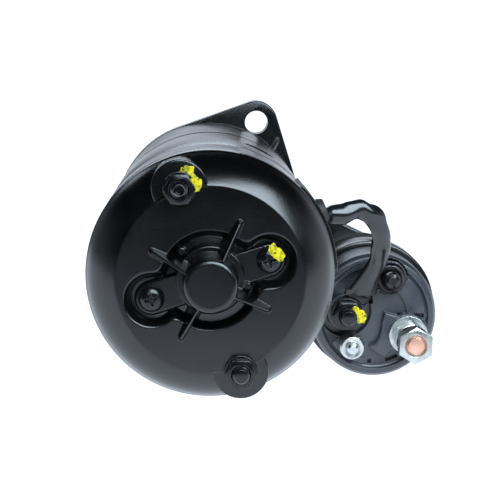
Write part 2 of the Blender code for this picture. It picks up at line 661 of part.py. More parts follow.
def make_cap():
    shell = [
        (0.0, CAP_FACE_Y), (CAP_R - 0.002, CAP_FACE_Y), (CAP_R, CAP_FACE_Y + 0.002), (CAP_R, CAP_FRONT_Y),
        (0.0229, CAP_FRONT_Y), (0.0229, CAP_FACE_Y + 0.003), (0.0, CAP_FACE_Y + 0.003),
    ]
    cap = finish("solenoid_cap", turned(shell, 36), "moulded_black", SOLENOID_AXIS)
    for at, radius, height in ((BATTERY_AT, 0.0085, 0.002), (MOTOR_AT, 0.0078, 0.002)):
        add(cap, rod(radius, CAP_FACE_Y - height, CAP_FACE_Y + 0.001, 20), at)
    for at, radius in ((BATTERY_AT, 0.0042), (MOTOR_AT, 0.0042), (SWITCH_AT, 0.0027), (RETURN_AT, 0.0032)):
        cut(cap, rod(radius, CAP_FACE_Y - 0.01, CAP_FRONT_Y - 0.01, 16), at)


def contact_stud(name, at, end_y, finish_name):
    """A terminal stud whose broad head is a fixed contact inside the cap."""
    shape = turned([(0.0, end_y), (0.0034, end_y), (0.0040, end_y + 0.0006), (0.0040, -0.1031),
                    (0.0062, -0.1031), (0.0062, -0.1003), (0.0, -0.1003)], 16)
    finish(name, shape, finish_name, at)


def make_terminals():
    contact_stud("battery_stud", BATTERY_AT, -0.1400, "copper")
    hex_nut("battery_nut", 0.0130, 0.0041, -0.1395, -0.1330, BATTERY_AT, "zinc_plate")
    finish("battery_washer", ring(0.0042, 0.0080, -0.1187, -0.1171, 20), "zinc_plate", BATTERY_AT)
    contact_stud("motor_stud", MOTOR_AT, -0.1300, "copper")
    hex_nut("motor_nut", 0.0130, 0.0041, -0.1265, -0.1200, MOTOR_AT, "black_steel")
    switch = [(0.0, -0.1245), (0.0020, -0.1245), (0.0026, -0.1235), (0.0026, -0.1201), (0.0052, -0.1193),
              (0.0052, CAP_FACE_Y - FIT), (0.0026, CAP_FACE_Y - FIT), (0.0026, -0.1060), (0.0, -0.1060)]
    finish("switch_terminal", turned(switch, 16), "zinc_plate", SWITCH_AT)
    fixing = [(0.0, -0.1270), (0.0020, -0.1270), (0.0031, -0.1258), (0.0031, -0.1210), (0.0066, -0.1200),
              (0.0068, CAP_FACE_Y - FIT), (0.0031, CAP_FACE_Y - FIT), (0.0031, -0.1060), (0.0, -0.1060)]
    finish("return_terminal", turned(fixing, 16), "black_steel", RETURN_AT)


# Lead from the field winding to the solenoid's motor terminal

def make_lead():
    lug = finish("lead_lug", ring(0.0042, 0.0078, -0.1192, -0.1174, 20), "copper", MOTOR_AT)
    add(lug, block((0.0060, -0.1192, -0.0030), (0.0082, -0.1174, 0.0030)), MOTOR_AT, LUG_ANGLE)
    cut(lug, rod(0.0042, -0.13, -0.11, 20), MOTOR_AT)
    exit_point = polar(0.0481, LEAD_ANGLE + 3.0, -0.1465)
    lug_end = MOTOR_AT + polar(0.0104, LUG_ANGLE, -0.1205)
    route = [
        exit_point, polar(0.0520, LEAD_ANGLE + 3.0, -0.1465), Vector((0.0605, -0.1455, 0.0215)),
        Vector((0.0665, -0.1420, 0.0170)), Vector((0.0695, -0.1350, 0.0060)),
        Vector((0.0665, -0.1255, -0.0080)), lug_end,
    ]
    path = smooth_path(route, 3)
    curve = bpy.data.curves.new("motor_lead", "CURVE")
    curve.dimensions = "3D"
    curve.bevel_depth = 0.0038
    curve.bevel_resolution = 2
    curve.use_fill_caps = True
    spline = curve.splines.new("POLY")
    spline.points.add(len(path) - 1)
    for point, place in zip(spline.points, path):
        point.co = (*place, 1.0)
    curve.materials.append(material("moulded_black"))
    lead = bpy.data.objects.new("motor_lead", curve)
    bpy.context.scene.collection.objects.link(lead)


def smooth_path(points, steps):
    """A Catmull-Rom curve through the points, with that many steps between each two."""
    padded = [points[0] * 2 - points[1]] + points + [points[-1] * 2 - points[-2]]
    path = []
    for index in range(1, len(padded) - 2):
        before, start, end, after = padded[index - 1:index + 3]
        for step in range(steps):
            t = step / steps
            path.append(0.5 * (2 * start + (end - before) * t
                               + (2 * before - 5 * start + 4 * end - after) * t * t
                               + (3 * start - before - 3 * end + after) * t ** 3))
    return path + [points[-1]]


def main():
    clear_scene()
    make_rear_cover()
    make_yoke()
    make_cable_grommet()
    make_centre_plate()
    make_drive_end_bracket()
    make_bushes()
    make_through_studs()
    make_cover_screws()
    make_brush_gear()
    make_field()
    make_armature()
    make_drive()
    make_lever()
    make_solenoid()
    make_cap()
    make_terminals()
    make_lead()


main()
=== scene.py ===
"""Looks for a vehicle starter motor: cast cover and bracket, solenoid, terminals, lead and stage."""

import math

import bmesh
import bpy
from bpy.props import FloatProperty, FloatVectorProperty, IntProperty, PointerProperty
from mathutils import Matrix, Vector, noise


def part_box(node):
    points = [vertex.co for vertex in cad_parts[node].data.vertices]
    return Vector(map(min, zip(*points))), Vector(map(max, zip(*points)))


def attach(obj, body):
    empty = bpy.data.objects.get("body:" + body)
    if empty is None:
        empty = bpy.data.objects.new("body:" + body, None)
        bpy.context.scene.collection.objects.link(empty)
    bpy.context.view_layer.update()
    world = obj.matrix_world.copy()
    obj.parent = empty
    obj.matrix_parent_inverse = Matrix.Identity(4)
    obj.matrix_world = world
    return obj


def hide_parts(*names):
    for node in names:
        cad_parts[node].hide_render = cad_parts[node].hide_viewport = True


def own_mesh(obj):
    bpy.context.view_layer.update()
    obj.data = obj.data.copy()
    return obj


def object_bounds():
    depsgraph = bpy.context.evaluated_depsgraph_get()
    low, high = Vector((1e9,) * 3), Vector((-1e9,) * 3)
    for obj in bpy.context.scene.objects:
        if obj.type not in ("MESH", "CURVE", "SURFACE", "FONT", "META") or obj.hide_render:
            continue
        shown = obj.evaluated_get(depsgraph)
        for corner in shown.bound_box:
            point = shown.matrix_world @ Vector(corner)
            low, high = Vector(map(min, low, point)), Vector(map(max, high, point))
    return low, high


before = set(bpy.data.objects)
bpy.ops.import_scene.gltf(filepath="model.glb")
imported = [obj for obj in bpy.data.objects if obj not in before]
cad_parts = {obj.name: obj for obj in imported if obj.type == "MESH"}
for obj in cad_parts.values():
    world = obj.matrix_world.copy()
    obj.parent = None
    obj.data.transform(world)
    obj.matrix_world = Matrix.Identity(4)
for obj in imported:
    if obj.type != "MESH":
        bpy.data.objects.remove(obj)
CAD_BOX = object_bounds()

bl_info = {
    "name": "Starter Motor Looks",
    "version": (1, 0, 0),
    "blender": (4, 5, 0),
    "location": "View3D > Sidebar > Starter",
    "description": "Builds the visible castings, fasteners, terminals and lead of a starter motor",
    "category": "Object",
}

MM = 0.001


# Places read from the frame

def node_centre(node):
    low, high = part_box(node)
    return (low + high) / 2


def axis_point(node):
    """The centre of a node in X and Z, with Y left at zero."""
    centre = node_centre(node)
    return Vector((centre.x, 0.0, centre.z))


COVER_LOW, COVER_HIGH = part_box("rear_cover")
YOKE_LOW, YOKE_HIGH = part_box("yoke")
BRACKET_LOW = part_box("drive_end_bracket")[0]
CAP_LOW, CAP_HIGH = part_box("solenoid_cap")
CAN_LOW, CAN_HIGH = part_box("solenoid_can")
CASE_R = YOKE_HIGH.x
BOSS_Y = COVER_LOW.y             # end of the bearing boss
FACE_Y = BOSS_Y + 13.0 * MM      # flat level of the cover's face
RIM_Y = FACE_Y + 12.5 * MM       # where the shoulder meets the skirt
SKIRT_Y = COVER_HIGH.y
SOLENOID_AXIS = axis_point("solenoid_can")
SOLENOID_ANGLE = math.degrees(math.atan2(SOLENOID_AXIS.z, SOLENOID_AXIS.x))
SOLENOID_PITCH = SOLENOID_AXIS.length
CAP_FACE_Y = CAP_LOW.y + 2.4 * MM

RIB_ANGLES = (63.0, 153.0, 243.0, 333.0)
SCREW_NODES = ("cover_screw_right", "cover_screw_left")
STUD_NODES = ("through_stud_upper", "through_stud_lower")
SCREW_CENTRES = [axis_point(node) for node in SCREW_NODES]


class StarterSizes(bpy.types.PropertyGroup):
    """Sizes of the cast details, which the CAD solids leave coarse."""

    pocket_depth: FloatProperty(
        name="Pocket depth", description="Depth of the recess round the bearing boss",
        default=5.0 * MM, min=0.0, unit="LENGTH")
    shelf_depth: FloatProperty(
        name="Shelf depth", description="Depth of the level that the cover screws stand on",
        default=2.6 * MM, min=0.0, unit="LENGTH")
    rib_thickness: FloatProperty(
        name="Rib thickness", description="Thickness of the four webs on the bearing boss",
        default=3.1 * MM, min=0.0, unit="LENGTH")
    draft: FloatProperty(
        name="Draft", description="Width over which a cast wall rises",
        default=1.3 * MM, min=0.0, unit="LENGTH")
    turns: IntProperty(
        name="Turning steps", description="Steps round a turned piece", default=128, min=16)


class StarterColours(bpy.types.PropertyGroup):
    """Colours of the finishes."""

    paint: FloatVectorProperty(
        name="Paint", description="Satin black paint", subtype="COLOR", size=3,
        default=(0.0012, 0.0013, 0.0016))
    moulding: FloatVectorProperty(
        name="Moulding", description="Black moulded plastic", subtype="COLOR", size=3,
        default=(0.030, 0.034, 0.042))
    zinc: FloatVectorProperty(
        name="Zinc", description="Bright zinc plate", subtype="COLOR", size=3,
        default=(0.58, 0.60, 0.60))
    copper: FloatVectorProperty(
        name="Copper", description="Bare copper", subtype="COLOR", size=3,
        default=(0.84, 0.50, 0.37))
    steel: FloatVectorProperty(
        name="Steel", description="Machined steel", subtype="COLOR", size=3,
        default=(0.47, 0.47, 0.48))
    marking: FloatVectorProperty(
        name="Marking", description="Inspection paint", subtype="COLOR", size=3,
        default=(0.66, 0.54, 0.0))
    floor: FloatVectorProperty(
        name="Floor", description="Pale floor", subtype="COLOR", size=3,
        default=(0.80, 0.88, 1.0))


# Shader node groups

def new_group(name, inputs, outputs):
    group = bpy.data.node_groups.new(name, "ShaderNodeTree")
    for label, value in inputs:
        socket = group.interface.new_socket(label, in_out="INPUT", socket_type="NodeSocketFloat")
        socket.default_value = value
    for label in outputs:
        group.interface.new_socket(label, in_out="OUTPUT", socket_type="NodeSocketFloat")
    return group, group.nodes.new("NodeGroupInput"), group.nodes.new("NodeGroupOutput")


def math_node(tree, operation, first, second):
    """A Math node whose inputs are sockets or numbers."""
    node = tree.nodes.new("ShaderNodeMath")
    node.operation = operation
    for socket, value in zip(node.inputs, (first, second)):
        if isinstance(value, bpy.types.NodeSocket):
            tree.links.new(value, socket)
        else:
            socket.default_value = value
    return node.outputs[0]


def ranged(tree, value, low, high, out_low=0.0, out_high=1.0):
    node = tree.nodes.new("ShaderNodeMapRange")
    node.interpolation_type = "SMOOTHSTEP"
    tree.links.new(value, node.inputs["Value"])
    for label, number in (("From Min", low), ("From Max", high), ("To Min", out_low), ("To Max", out_high)):
        node.inputs[label].default_value = number
    return node.outputs["Result"]


def noise_value(tree, vector, scale, detail=3.0, roughness=0.55):
    node = tree.nodes.new("ShaderNodeTexNoise")
    node.inputs["Detail"].default_value = detail
    node.inputs["Roughness"].default_value = roughness
    if isinstance(scale, bpy.types.NodeSocket):
        tree.links.new(scale, node.inputs["Scale"])
    else:
        node.inputs["Scale"].default_value = scale
    tree.links.new(vector, node.inputs["Vector"])
    return node.outputs["Fac"]


def object_vector(tree):
    return tree.nodes.new("ShaderNodeTexCoord").outputs["Object"]


def coating_group():
    """Fine orange peel, soft mottling and small specks of a sprayed or moulded surface."""
    found = bpy.data.node_groups.get("sprayed_coating")
    if found:
        return found
    group, entry, leave = new_group(
        "sprayed_coating", (("Grain Scale", 2600.0), ("Speck Scale", 900.0)),
        ("Height", "Mottle", "Speck"))
    place = object_vector(group)
    grain = noise_value(group, place, entry.outputs["Grain Scale"], 2.0)
    peel = noise_value(group, place, 420.0, 2.0)
    height = math_node(group, "ADD", math_node(group, "MULTIPLY", peel, 0.2), grain)
    mottle = ranged(group, noise_value(group, place, 55.0, 5.0, 0.65), 0.3, 0.7)
    specks = noise_value(group, place, entry.outputs["Speck Scale"], 1.0)
    group.links.new(height, leave.inputs["Height"])
    group.links.new(mottle, leave.inputs["Mottle"])
    group.links.new(ranged(group, specks, 0.74, 0.80), leave.inputs["Speck"])
    return group


def edge_wear_and_highlight_group():
    """Where edges stick out, from how far a rounded normal leans away from the true one; patchy rubbed edges
    that also carry a painted highlight.
    """
    found = bpy.data.node_groups.get("rubbed_edges_and_painted_highlight")
    if found:
        return found
    group, entry, leave = new_group("rubbed_edges_and_painted_highlight", (("Width", 0.0004), ("Patchiness", 300.0)), ("Edge",))
    bevel = group.nodes.new("ShaderNodeBevel")
    bevel.samples = 4
    group.links.new(entry.outputs["Width"], bevel.inputs["Radius"])
    plain = group.nodes.new("ShaderNodeNewGeometry")
    lean = group.nodes.new("ShaderNodeVectorMath")
    lean.operation = "DOT_PRODUCT"
    group.links.new(bevel.outputs["Normal"], lean.inputs[0])
    group.links.new(plain.outputs["Normal"], lean.inputs[1])
    edge = ranged(group, lean.outputs["Value"], 0.97, 0.80)
    patches = noise_value(group, object_vector(group), entry.outputs["Patchiness"], 3.0)
    edge_wear_and_highlight = math_node(group, "MULTIPLY", edge, ranged(group, patches, 0.40, 0.62))
    group.links.new(edge_wear_and_highlight, leave.inputs["Edge"])
    return group


def brushed_group():
    """Turning or brushing lines round the Y axis, with tarnish in patches."""
    found = bpy.data.node_groups.get("turned_metal")
    if found:
        return found
    group, entry, leave = new_group(
        "turned_metal", (("Line Scale", 2200.0), ("Tarnish Scale", 140.0)), ("Lines", "Tarnish"))
    split = group.nodes.new("ShaderNodeSeparateXYZ")
    group.links.new(object_vector(group), split.inputs[0])
    along = group.nodes.new("ShaderNodeCombineXYZ")
    for target, source, factor in ((0, "X", 0.06), (1, "Y", 1.0), (2, "Z", 0.06)):
        group.links.new(math_node(group, "MULTIPLY", split.outputs[source], factor), along.inputs[target])
    lines = noise_value(group, along.outputs[0], entry.outputs["Line Scale"], 2.0)
    tarnish = noise_value(group, object_vector(group), entry.outputs["Tarnish Scale"], 5.0, 0.6)
    group.links.new(lines, leave.inputs["Lines"])
    group.links.new(ranged(group, tarnish, 0.42, 0.66), leave.inputs["Tarnish"])
    return group


# Materials

def place_group(tree, group, **values):
    """A shared group in a material, with its own values; an underscore stands for a space."""
    node = tree.nodes.new("ShaderNodeGroup")
    node.node_tree = group
    for label, value in values.items():
        node.inputs[label.replace("_", " ")].default_value = value
    return node


def mixed(tree, factor, first, second):
    """A colour between two, by a mask."""
    node = tree.nodes.new("ShaderNodeMix")
    node.data_type = "RGBA"
    sockets = {socket.identifier: socket for socket in node.inputs}
    tree.links.new(factor, sockets["Factor_Float"])
    for socket, value in ((sockets["A_Color"], first), (sockets["B_Color"], second)):
        if isinstance(value, bpy.types.NodeSocket):
            tree.links.new(value, socket)
        else:
            socket.default_value = (*value, 1.0)
    return next(s for s in node.outputs if s.identifier == "Result_Color")


def begin_material(name):
    """A new material and its Principled shader, or None for the shader if it is already there."""
    found = bpy.data.materials.get(name)
    if found:
        return found, None
    made = bpy.data.materials.new(name)
    made.use_nodes = True
    return made, made.node_tree.nodes["Principled BSDF"]


def rounded_bump(tree, shader, height, strength, distance, radius):
    """Bump over normals that round the sharp edges off."""
    bump = tree.nodes.new("ShaderNodeBump")
    bump.inputs["Strength"].default_value = strength
    bump.inputs["Distance"].default_value = distance
    tree.links.new(height, bump.inputs["Height"])
    if radius > 0.0:
        bevel = tree.nodes.new("ShaderNodeBevel")
        bevel.samples = 4
        bevel.inputs["Radius"].default_value = radius
        tree.links.new(bevel.outputs["Normal"], bump.inputs["Normal"])
    tree.links.new(bump.outputs["Normal"], shader.inputs["Normal"])


def coated(name, colour, dust, roughness, grain, radius=0.3 * MM, edge_wear_and_highlight_colour=None, gloss=0.5):
    """Sprayed paint or a moulding: dark, satin, finely grained."""
    made, shader = begin_material(name)
    if shader is None:
        return made
    tree = made.node_tree
    coat = place_group(tree, coating_group(), Grain_Scale=2600.0, Speck_Scale=900.0)
    mottled = mixed(tree, math_node(tree, "MULTIPLY", coat.outputs["Mottle"], 0.35), colour, dust)
    speckled = mixed(tree, math_node(tree, "MULTIPLY", coat.outputs["Speck"], 0.5), mottled, dust)
    # Lighter colour on the edges: partly rubbed-off finish, partly a painted edge highlight.
    if edge_wear_and_highlight_colour:
        edge_wear_and_highlight_node = place_group(tree, edge_wear_and_highlight_group(), Width=0.4 * MM, Patchiness=300.0)
        speckled = mixed(tree, math_node(tree, "MULTIPLY", edge_wear_and_highlight_node.outputs["Edge"], 0.5), speckled, edge_wear_and_highlight_colour)
    tree.links.new(speckled, shader.inputs["Base Color"])
    rough = math_node(tree, "MULTIPLY", coat.outputs["Mottle"], 0.08)
    tree.links.new(math_node(tree, "ADD", rough, roughness), shader.inputs["Roughness"])
    shader.inputs["Specular IOR Level"].default_value = gloss
    rounded_bump(tree, shader, coat.outputs["Height"], 0.5, grain, radius)
    return made


def metal(name, colour, tarnish, roughness):
    """Plated or machined metal with turning lines and uneven tarnish."""
    made, shader = begin_material(name)
    if shader is None:
        return made
    tree = made.node_tree
    turned_lines = place_group(tree, brushed_group(), Line_Scale=2200.0, Tarnish_Scale=140.0)
    factor = math_node(tree, "MULTIPLY", turned_lines.outputs["Tarnish"], 0.6)
    tree.links.new(mixed(tree, factor, colour, tarnish), shader.inputs["Base Color"])
    rough = math_node(tree, "MULTIPLY", turned_lines.outputs["Tarnish"], 0.16)
    tree.links.new(math_node(tree, "ADD", rough, roughness), shader.inputs["Roughness"])
    shader.inputs["Metallic"].default_value = 1.0
    rounded_bump(tree, shader, turned_lines.outputs["Lines"], 0.4, 0.02 * MM, 0.2 * MM)
    return made


def colours():
    return bpy.context.scene.starter_colours


def sizes():
    return bpy.context.scene.starter_sizes


def black_paint():
    return coated("satin_black_paint", colours().paint, (0.0032, 0.0035, 0.0042), 0.175, 0.08 * MM,
                  edge_wear_and_highlight_colour=(0.02, 0.021, 0.024), gloss=0.62)


def moulded_black():
    return coated("moulded_cap", colours().moulding, (0.056, 0.061, 0.072), 0.25, 0.04 * MM, gloss=0.7)


def sleeve_black():
    return coated("sleeve_black", (0.006, 0.007, 0.009), (0.014, 0.015, 0.018), 0.16, 0.03 * MM,
                  radius=0.0, gloss=0.7)


def rubber_black():
    return coated("rubber_black", (0.010, 0.010, 0.010), (0.03, 0.03, 0.03), 0.55, 0.06 * MM)


def zinc_plate():
    return metal("bright_zinc", colours().zinc, (0.42, 0.41, 0.37), 0.24)


def copper():
    return metal("bare_copper", colours().copper, (0.62, 0.32, 0.20), 0.30)


def black_steel():
    # The light edge colour paints a highlight along the edges of nuts, studs and screws, in rubbed-looking
    # patches.
    return coated("blackened_steel", (0.002, 0.002, 0.003), (0.008, 0.008, 0.010), 0.17, 0.04 * MM,
                  edge_wear_and_highlight_colour=(0.42, 0.42, 0.44))


def dark_plate():
    return metal("darkened_plate", (0.10, 0.10, 0.11), (0.05, 0.05, 0.05), 0.22)


def machined_steel():
    return metal("machined_steel", colours().steel, (0.26, 0.24, 0.22), 0.26)


def bronze():
    return metal("sintered_bronze", (0.52, 0.36, 0.17), (0.26, 0.17, 0.08), 0.42)


def enamel_wire():
    """Varnished copper winding: fine strands under a brown coat."""
    made, shader = begin_material("varnished_winding")
    if shader is None:
        return made
    tree = made.node_tree
    strands = tree.nodes.new("ShaderNodeTexWave")
    strands.inputs["Scale"].default_value = 500.0
    strands.inputs["Distortion"].default_value = 1.5
    tree.links.new(object_vector(tree), strands.inputs["Vector"])
    tree.links.new(mixed(tree, strands.outputs["Fac"], (0.16, 0.045, 0.015), (0.42, 0.16, 0.06)),
                   shader.inputs["Base Color"])
    shader.inputs["Metallic"].default_value = 0.4
    shader.inputs["Roughness"].default_value = 0.34
    rounded_bump(tree, shader, strands.outputs["Fac"], 0.6, 0.1 * MM, 0.0)
    return made


def carbon():
    return coated("pressed_carbon", (0.035, 0.035, 0.037), (0.08, 0.08, 0.08), 0.5, 0.04 * MM)


def marking_paint():
    """Brushed-on inspection paint, thin and greenish where it runs out."""
    made, shader = begin_material("inspection_paint")
    if shader is None:
        return made
    tree = made.node_tree
    thin = ranged(tree, noise_value(tree, object_vector(tree), 330.0, 4.0), 0.44, 0.56)
    tree.links.new(mixed(tree, thin, colours().marking, (0.30, 0.29, 0.0)), shader.inputs["Base Color"])
    shader.inputs["Roughness"].default_value = 0.4
    streaks = noise_value(tree, object_vector(tree), 1500.0, 3.0)
    broken = noise_value(tree, object_vector(tree), 650.0, 4.0, 0.7)
    tree.links.new(ranged(tree, broken, 0.41, 0.45), shader.inputs["Alpha"])
    rounded_bump(tree, shader, streaks, 0.5, 0.1 * MM, 0.0)
    return made


# Mesh helpers

def in_mm(points):
    """Points given in millimetres, in metres."""
    return [(a * MM, b * MM) for a, b in points]


def polar(radius, degrees, y=0.0):
    angle = math.radians(degrees)
    return Vector((radius * math.cos(angle), y, radius * math.sin(angle)))


def piece(name, bm, finish, body="housing", stands_for=(), smooth_angle=32.0):
    """Make a bmesh an object that rides on a body."""
    bmesh.ops.recalc_face_normals(bm, faces=bm.faces)
    mesh = bpy.data.meshes.new(name)
    bm.to_mesh(mesh)
    bm.free()
    mesh.shade_smooth()
    mesh.set_sharp_from_angle(angle=math.radians(smooth_angle))
    obj = bpy.data.objects.new(name, mesh)
    bpy.context.scene.collection.objects.link(obj)
    mesh.materials.append(finish)
    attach(obj, body)
    if stands_for:
        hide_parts(*stands_for)
    return obj


def turned(profile, steps=None, at=(0.0, 0.0, 0.0)):
    """Spin (radius, y) points about the Y axis; an end on the axis is capped."""
    bm = bmesh.new()
    verts = [bm.verts.new((radius, y, 0.0)) for radius, y in profile if radius > 1e-9]
    edges = [bm.edges.new(pair) for pair in zip(verts, verts[1:])]
    open_ended = len(verts) < len(profile)
    if not open_ended:
        edges.append(bm.edges.new((verts[-1], verts[0])))
    bmesh.ops.spin(bm, geom=verts + edges, cent=(0, 0, 0), axis=(0, 1, 0),
                   angle=math.tau, steps=steps or sizes().turns, use_merge=True)
    bmesh.ops.remove_doubles(bm, verts=bm.verts, dist=1e-7)
    if open_ended:
        bmesh.ops.holes_fill(bm, edges=[edge for edge in bm.edges if edge.is_boundary], sides=0)
    bmesh.ops.translate(bm, verts=bm.verts, vec=Vector(at))
    bmesh.ops.recalc_face_normals(bm, faces=bm.faces)
    return bm


def rod(radius, low, high, far_radius=None):
    """The profile of a solid cylinder, or of a cone with another radius at its high end."""
    return [(0.0, low), (radius, low), (far_radius or radius, high), (0.0, high)]


def tube(inner, outer, low, high):
    return [(inner, low), (outer, low), (outer, high), (inner, high)]


def rounded(points, radius, steps=3):
    """A closed profile with each corner cut to an arc; radius is one number or one for each corner."""
    radii = radius if isinstance(radius, (list, tuple)) else [radius] * len(points)
    shaped = []
    for index, corner in enumerate(points):
        here = Vector(corner)
        before = Vector(points[index - 1]) - here
        after = Vector(points[(index + 1) % len(points)]) - here
        reach = min(radii[index], before.length * 0.49, after.length * 0.49)
        if reach <= 0.0 or here.x <= 1e-9:
            shaped.append(tuple(here))
            continue
        start, end = here + before.normalized() * reach, here + after.normalized() * reach
        for step in range(steps + 1):
            t = step / steps
            shaped.append(tuple((1 - t) ** 2 * start + 2 * t * (1 - t) * here + t * t * end))
    return shaped


def prism(outline, low, high, edge=0.0, segments=2):
    """Extrude an (x, z) outline along Y, with its edges at both ends bevelled."""
    bm = bmesh.new()
    verts = [bm.verts.new((x, low, z)) for x, z in outline]
    face = bm.faces.new(verts)
    grown = bmesh.ops.extrude_face_region(bm, geom=[face])
    lifted = [item for item in grown["geom"] if isinstance(item, bmesh.types.BMVert)]
    bmesh.ops.translate(bm, verts=lifted, vec=(0.0, high - low, 0.0))
    if edge > 0.0:
        ends = [e for e in bm.edges if abs(e.verts[0].co.y - e.verts[1].co.y) < 1e-9]
        bmesh.ops.bevel(bm, geom=ends, offset=edge, affect="EDGES", segments=segments, profile=0.5,
                        material=-1, clamp_overlap=True)
    bmesh.ops.recalc_face_normals(bm, faces=bm.faces)
    return bm


def arc(radius, start, end, steps, centre=(0.0, 0.0)):
    points = []
    for step in range(steps + 1):
        point = polar(radius, start + (end - start) * step / steps)
        points.append((centre[0] + point.x, centre[1] + point.z))
    return points


def ring_sector(inner, outer, start, end, steps):
    return arc(outer, start, end, steps) + arc(inner, end, start, steps)


def circle(radius, centre=(0.0, 0.0), steps=48):
    return arc(radius, 0.0, 360.0, steps, centre)[:-1]


def oblong(half_x, half_z):
    return [(-half_x, -half_z), (half_x, -half_z), (half_x, half_z), (-half_x, half_z)]


def hull(points):
    """The convex outline around (x, z) points."""
    def turn_of(a, b, c):
        return (b[0] - a[0]) * (c[1] - a[1]) - (b[1] - a[1]) * (c[0] - a[0])

    def half(ordered):
        chain = []
        for point in ordered:
            while len(chain) > 1 and turn_of(chain[-2], chain[-1], point) <= 0.0:
                chain.pop()
            chain.append(point)
        return chain[:-1]

    ordered = sorted(points)
    return half(ordered) + half(ordered[::-1])


def rotated(bm, degrees, axis="Y"):
    """Turn a bmesh about the origin, positive from +X towards +Z for the Y axis."""
    sign = -1.0 if axis == "Y" else 1.0
    turn = Matrix.Rotation(sign * math.radians(degrees), 3, axis)
    bmesh.ops.rotate(bm, verts=bm.verts, cent=(0, 0, 0), matrix=turn)
    return bm


def shifted(bm, by):
    bmesh.ops.translate(bm, verts=bm.verts, vec=Vector(by))
    return bm


def joined(*shapes):
    """Several bmeshes in one, each still a closed shape of its own."""
    whole = bmesh.new()
    for shape in shapes:
        mesh = bpy.data.meshes.new("part")
        shape.to_mesh(mesh)
        shape.free()
        whole.from_mesh(mesh)
        bpy.data.meshes.remove(mesh)
    return whole


def combined(base, steps):
    """Apply exact Booleans to a bmesh: steps is a list of (operation, bmesh)."""
    def as_object(bm):
        mesh = bpy.data.meshes.new("shape")
        bm.to_mesh(mesh)
        bm.free()
        made = bpy.data.objects.new("shape", mesh)
        bpy.context.scene.collection.objects.link(made)
        return made

    body = as_object(base)
    tools = []
    for operation, tool in steps:
        change = body.modifiers.new("change", "BOOLEAN")
        change.operation = operation
        change.solver = "EXACT"
        change.object = as_object(tool)
        tools.append(change.object)
    bpy.context.view_layer.update()
    shaped = body.evaluated_get(bpy.context.evaluated_depsgraph_get())
    result = bmesh.new()
    result.from_mesh(shaped.to_mesh())
    for made in [body] + tools:
        mesh = made.data
        bpy.data.objects.remove(made)
        bpy.data.meshes.remove(mesh)
    return result


def skinned(bm, rings):
    """Faces between closed rings of vertices, with both ends capped; returns the last cap."""
    for start, end in zip(rings, rings[1:]):
        for side in range(len(start)):
            after = (side + 1) % len(start)
            bm.faces.new((start[side], start[after], end[after], end[side]))
    bm.faces.new(rings[0][::-1])
    return bm.faces.new(rings[-1])


def smoothstep(low, high, value):
    t = min(max((value - low) / (high - low), 0.0), 1.0)
    return t * t * (3.0 - 2.0 * t)


def soft_max(a, b, width):
    """The larger of two heights, filleted where they are within width of each other."""
    t = min(max(0.5 + 0.5 * (a - b) / width, 0.0), 1.0)
    return b + (a - b) * t + width * t * (1.0 - t)


# Rear cover

FACE_R = 33.4 * MM
COVER_INNER_R = 42.0 * MM
BOSS_R = 9.5 * MM
BOSS_EDGE = 1.9 * MM        # radius on the boss's rim
POCKET_R = 16.3 * MM        # round part of the recess
LOBE_R = 8.3 * MM           # its lobes round the cover screws
LOBE_BLEND = 4.0 * MM
SHELF_HALF = 5.9 * MM       # half width of the shelves the screws stand on
COLLAR_FOOT, COLLAR_TOP = 12.9 * MM, 11.9 * MM
COLLAR_HEIGHT = 3.6 * MM
ROOT_BLOCKS = (polar(14.4 * MM, 135.0), polar(13.2 * MM, 350.0))
ROOT_BLOCK_HEIGHT = 3.4 * MM
RIB_ROOT, RIB_TIP = 5.0 * MM, 22.9 * MM
RIB_DROP = 1.3 * MM         # below the end of the boss, where a rib meets it
RIB_TIP_HEIGHT = 2.4 * MM
STUD_PAD_R = 10.0 * MM
GATHER = math.degrees(0.09)


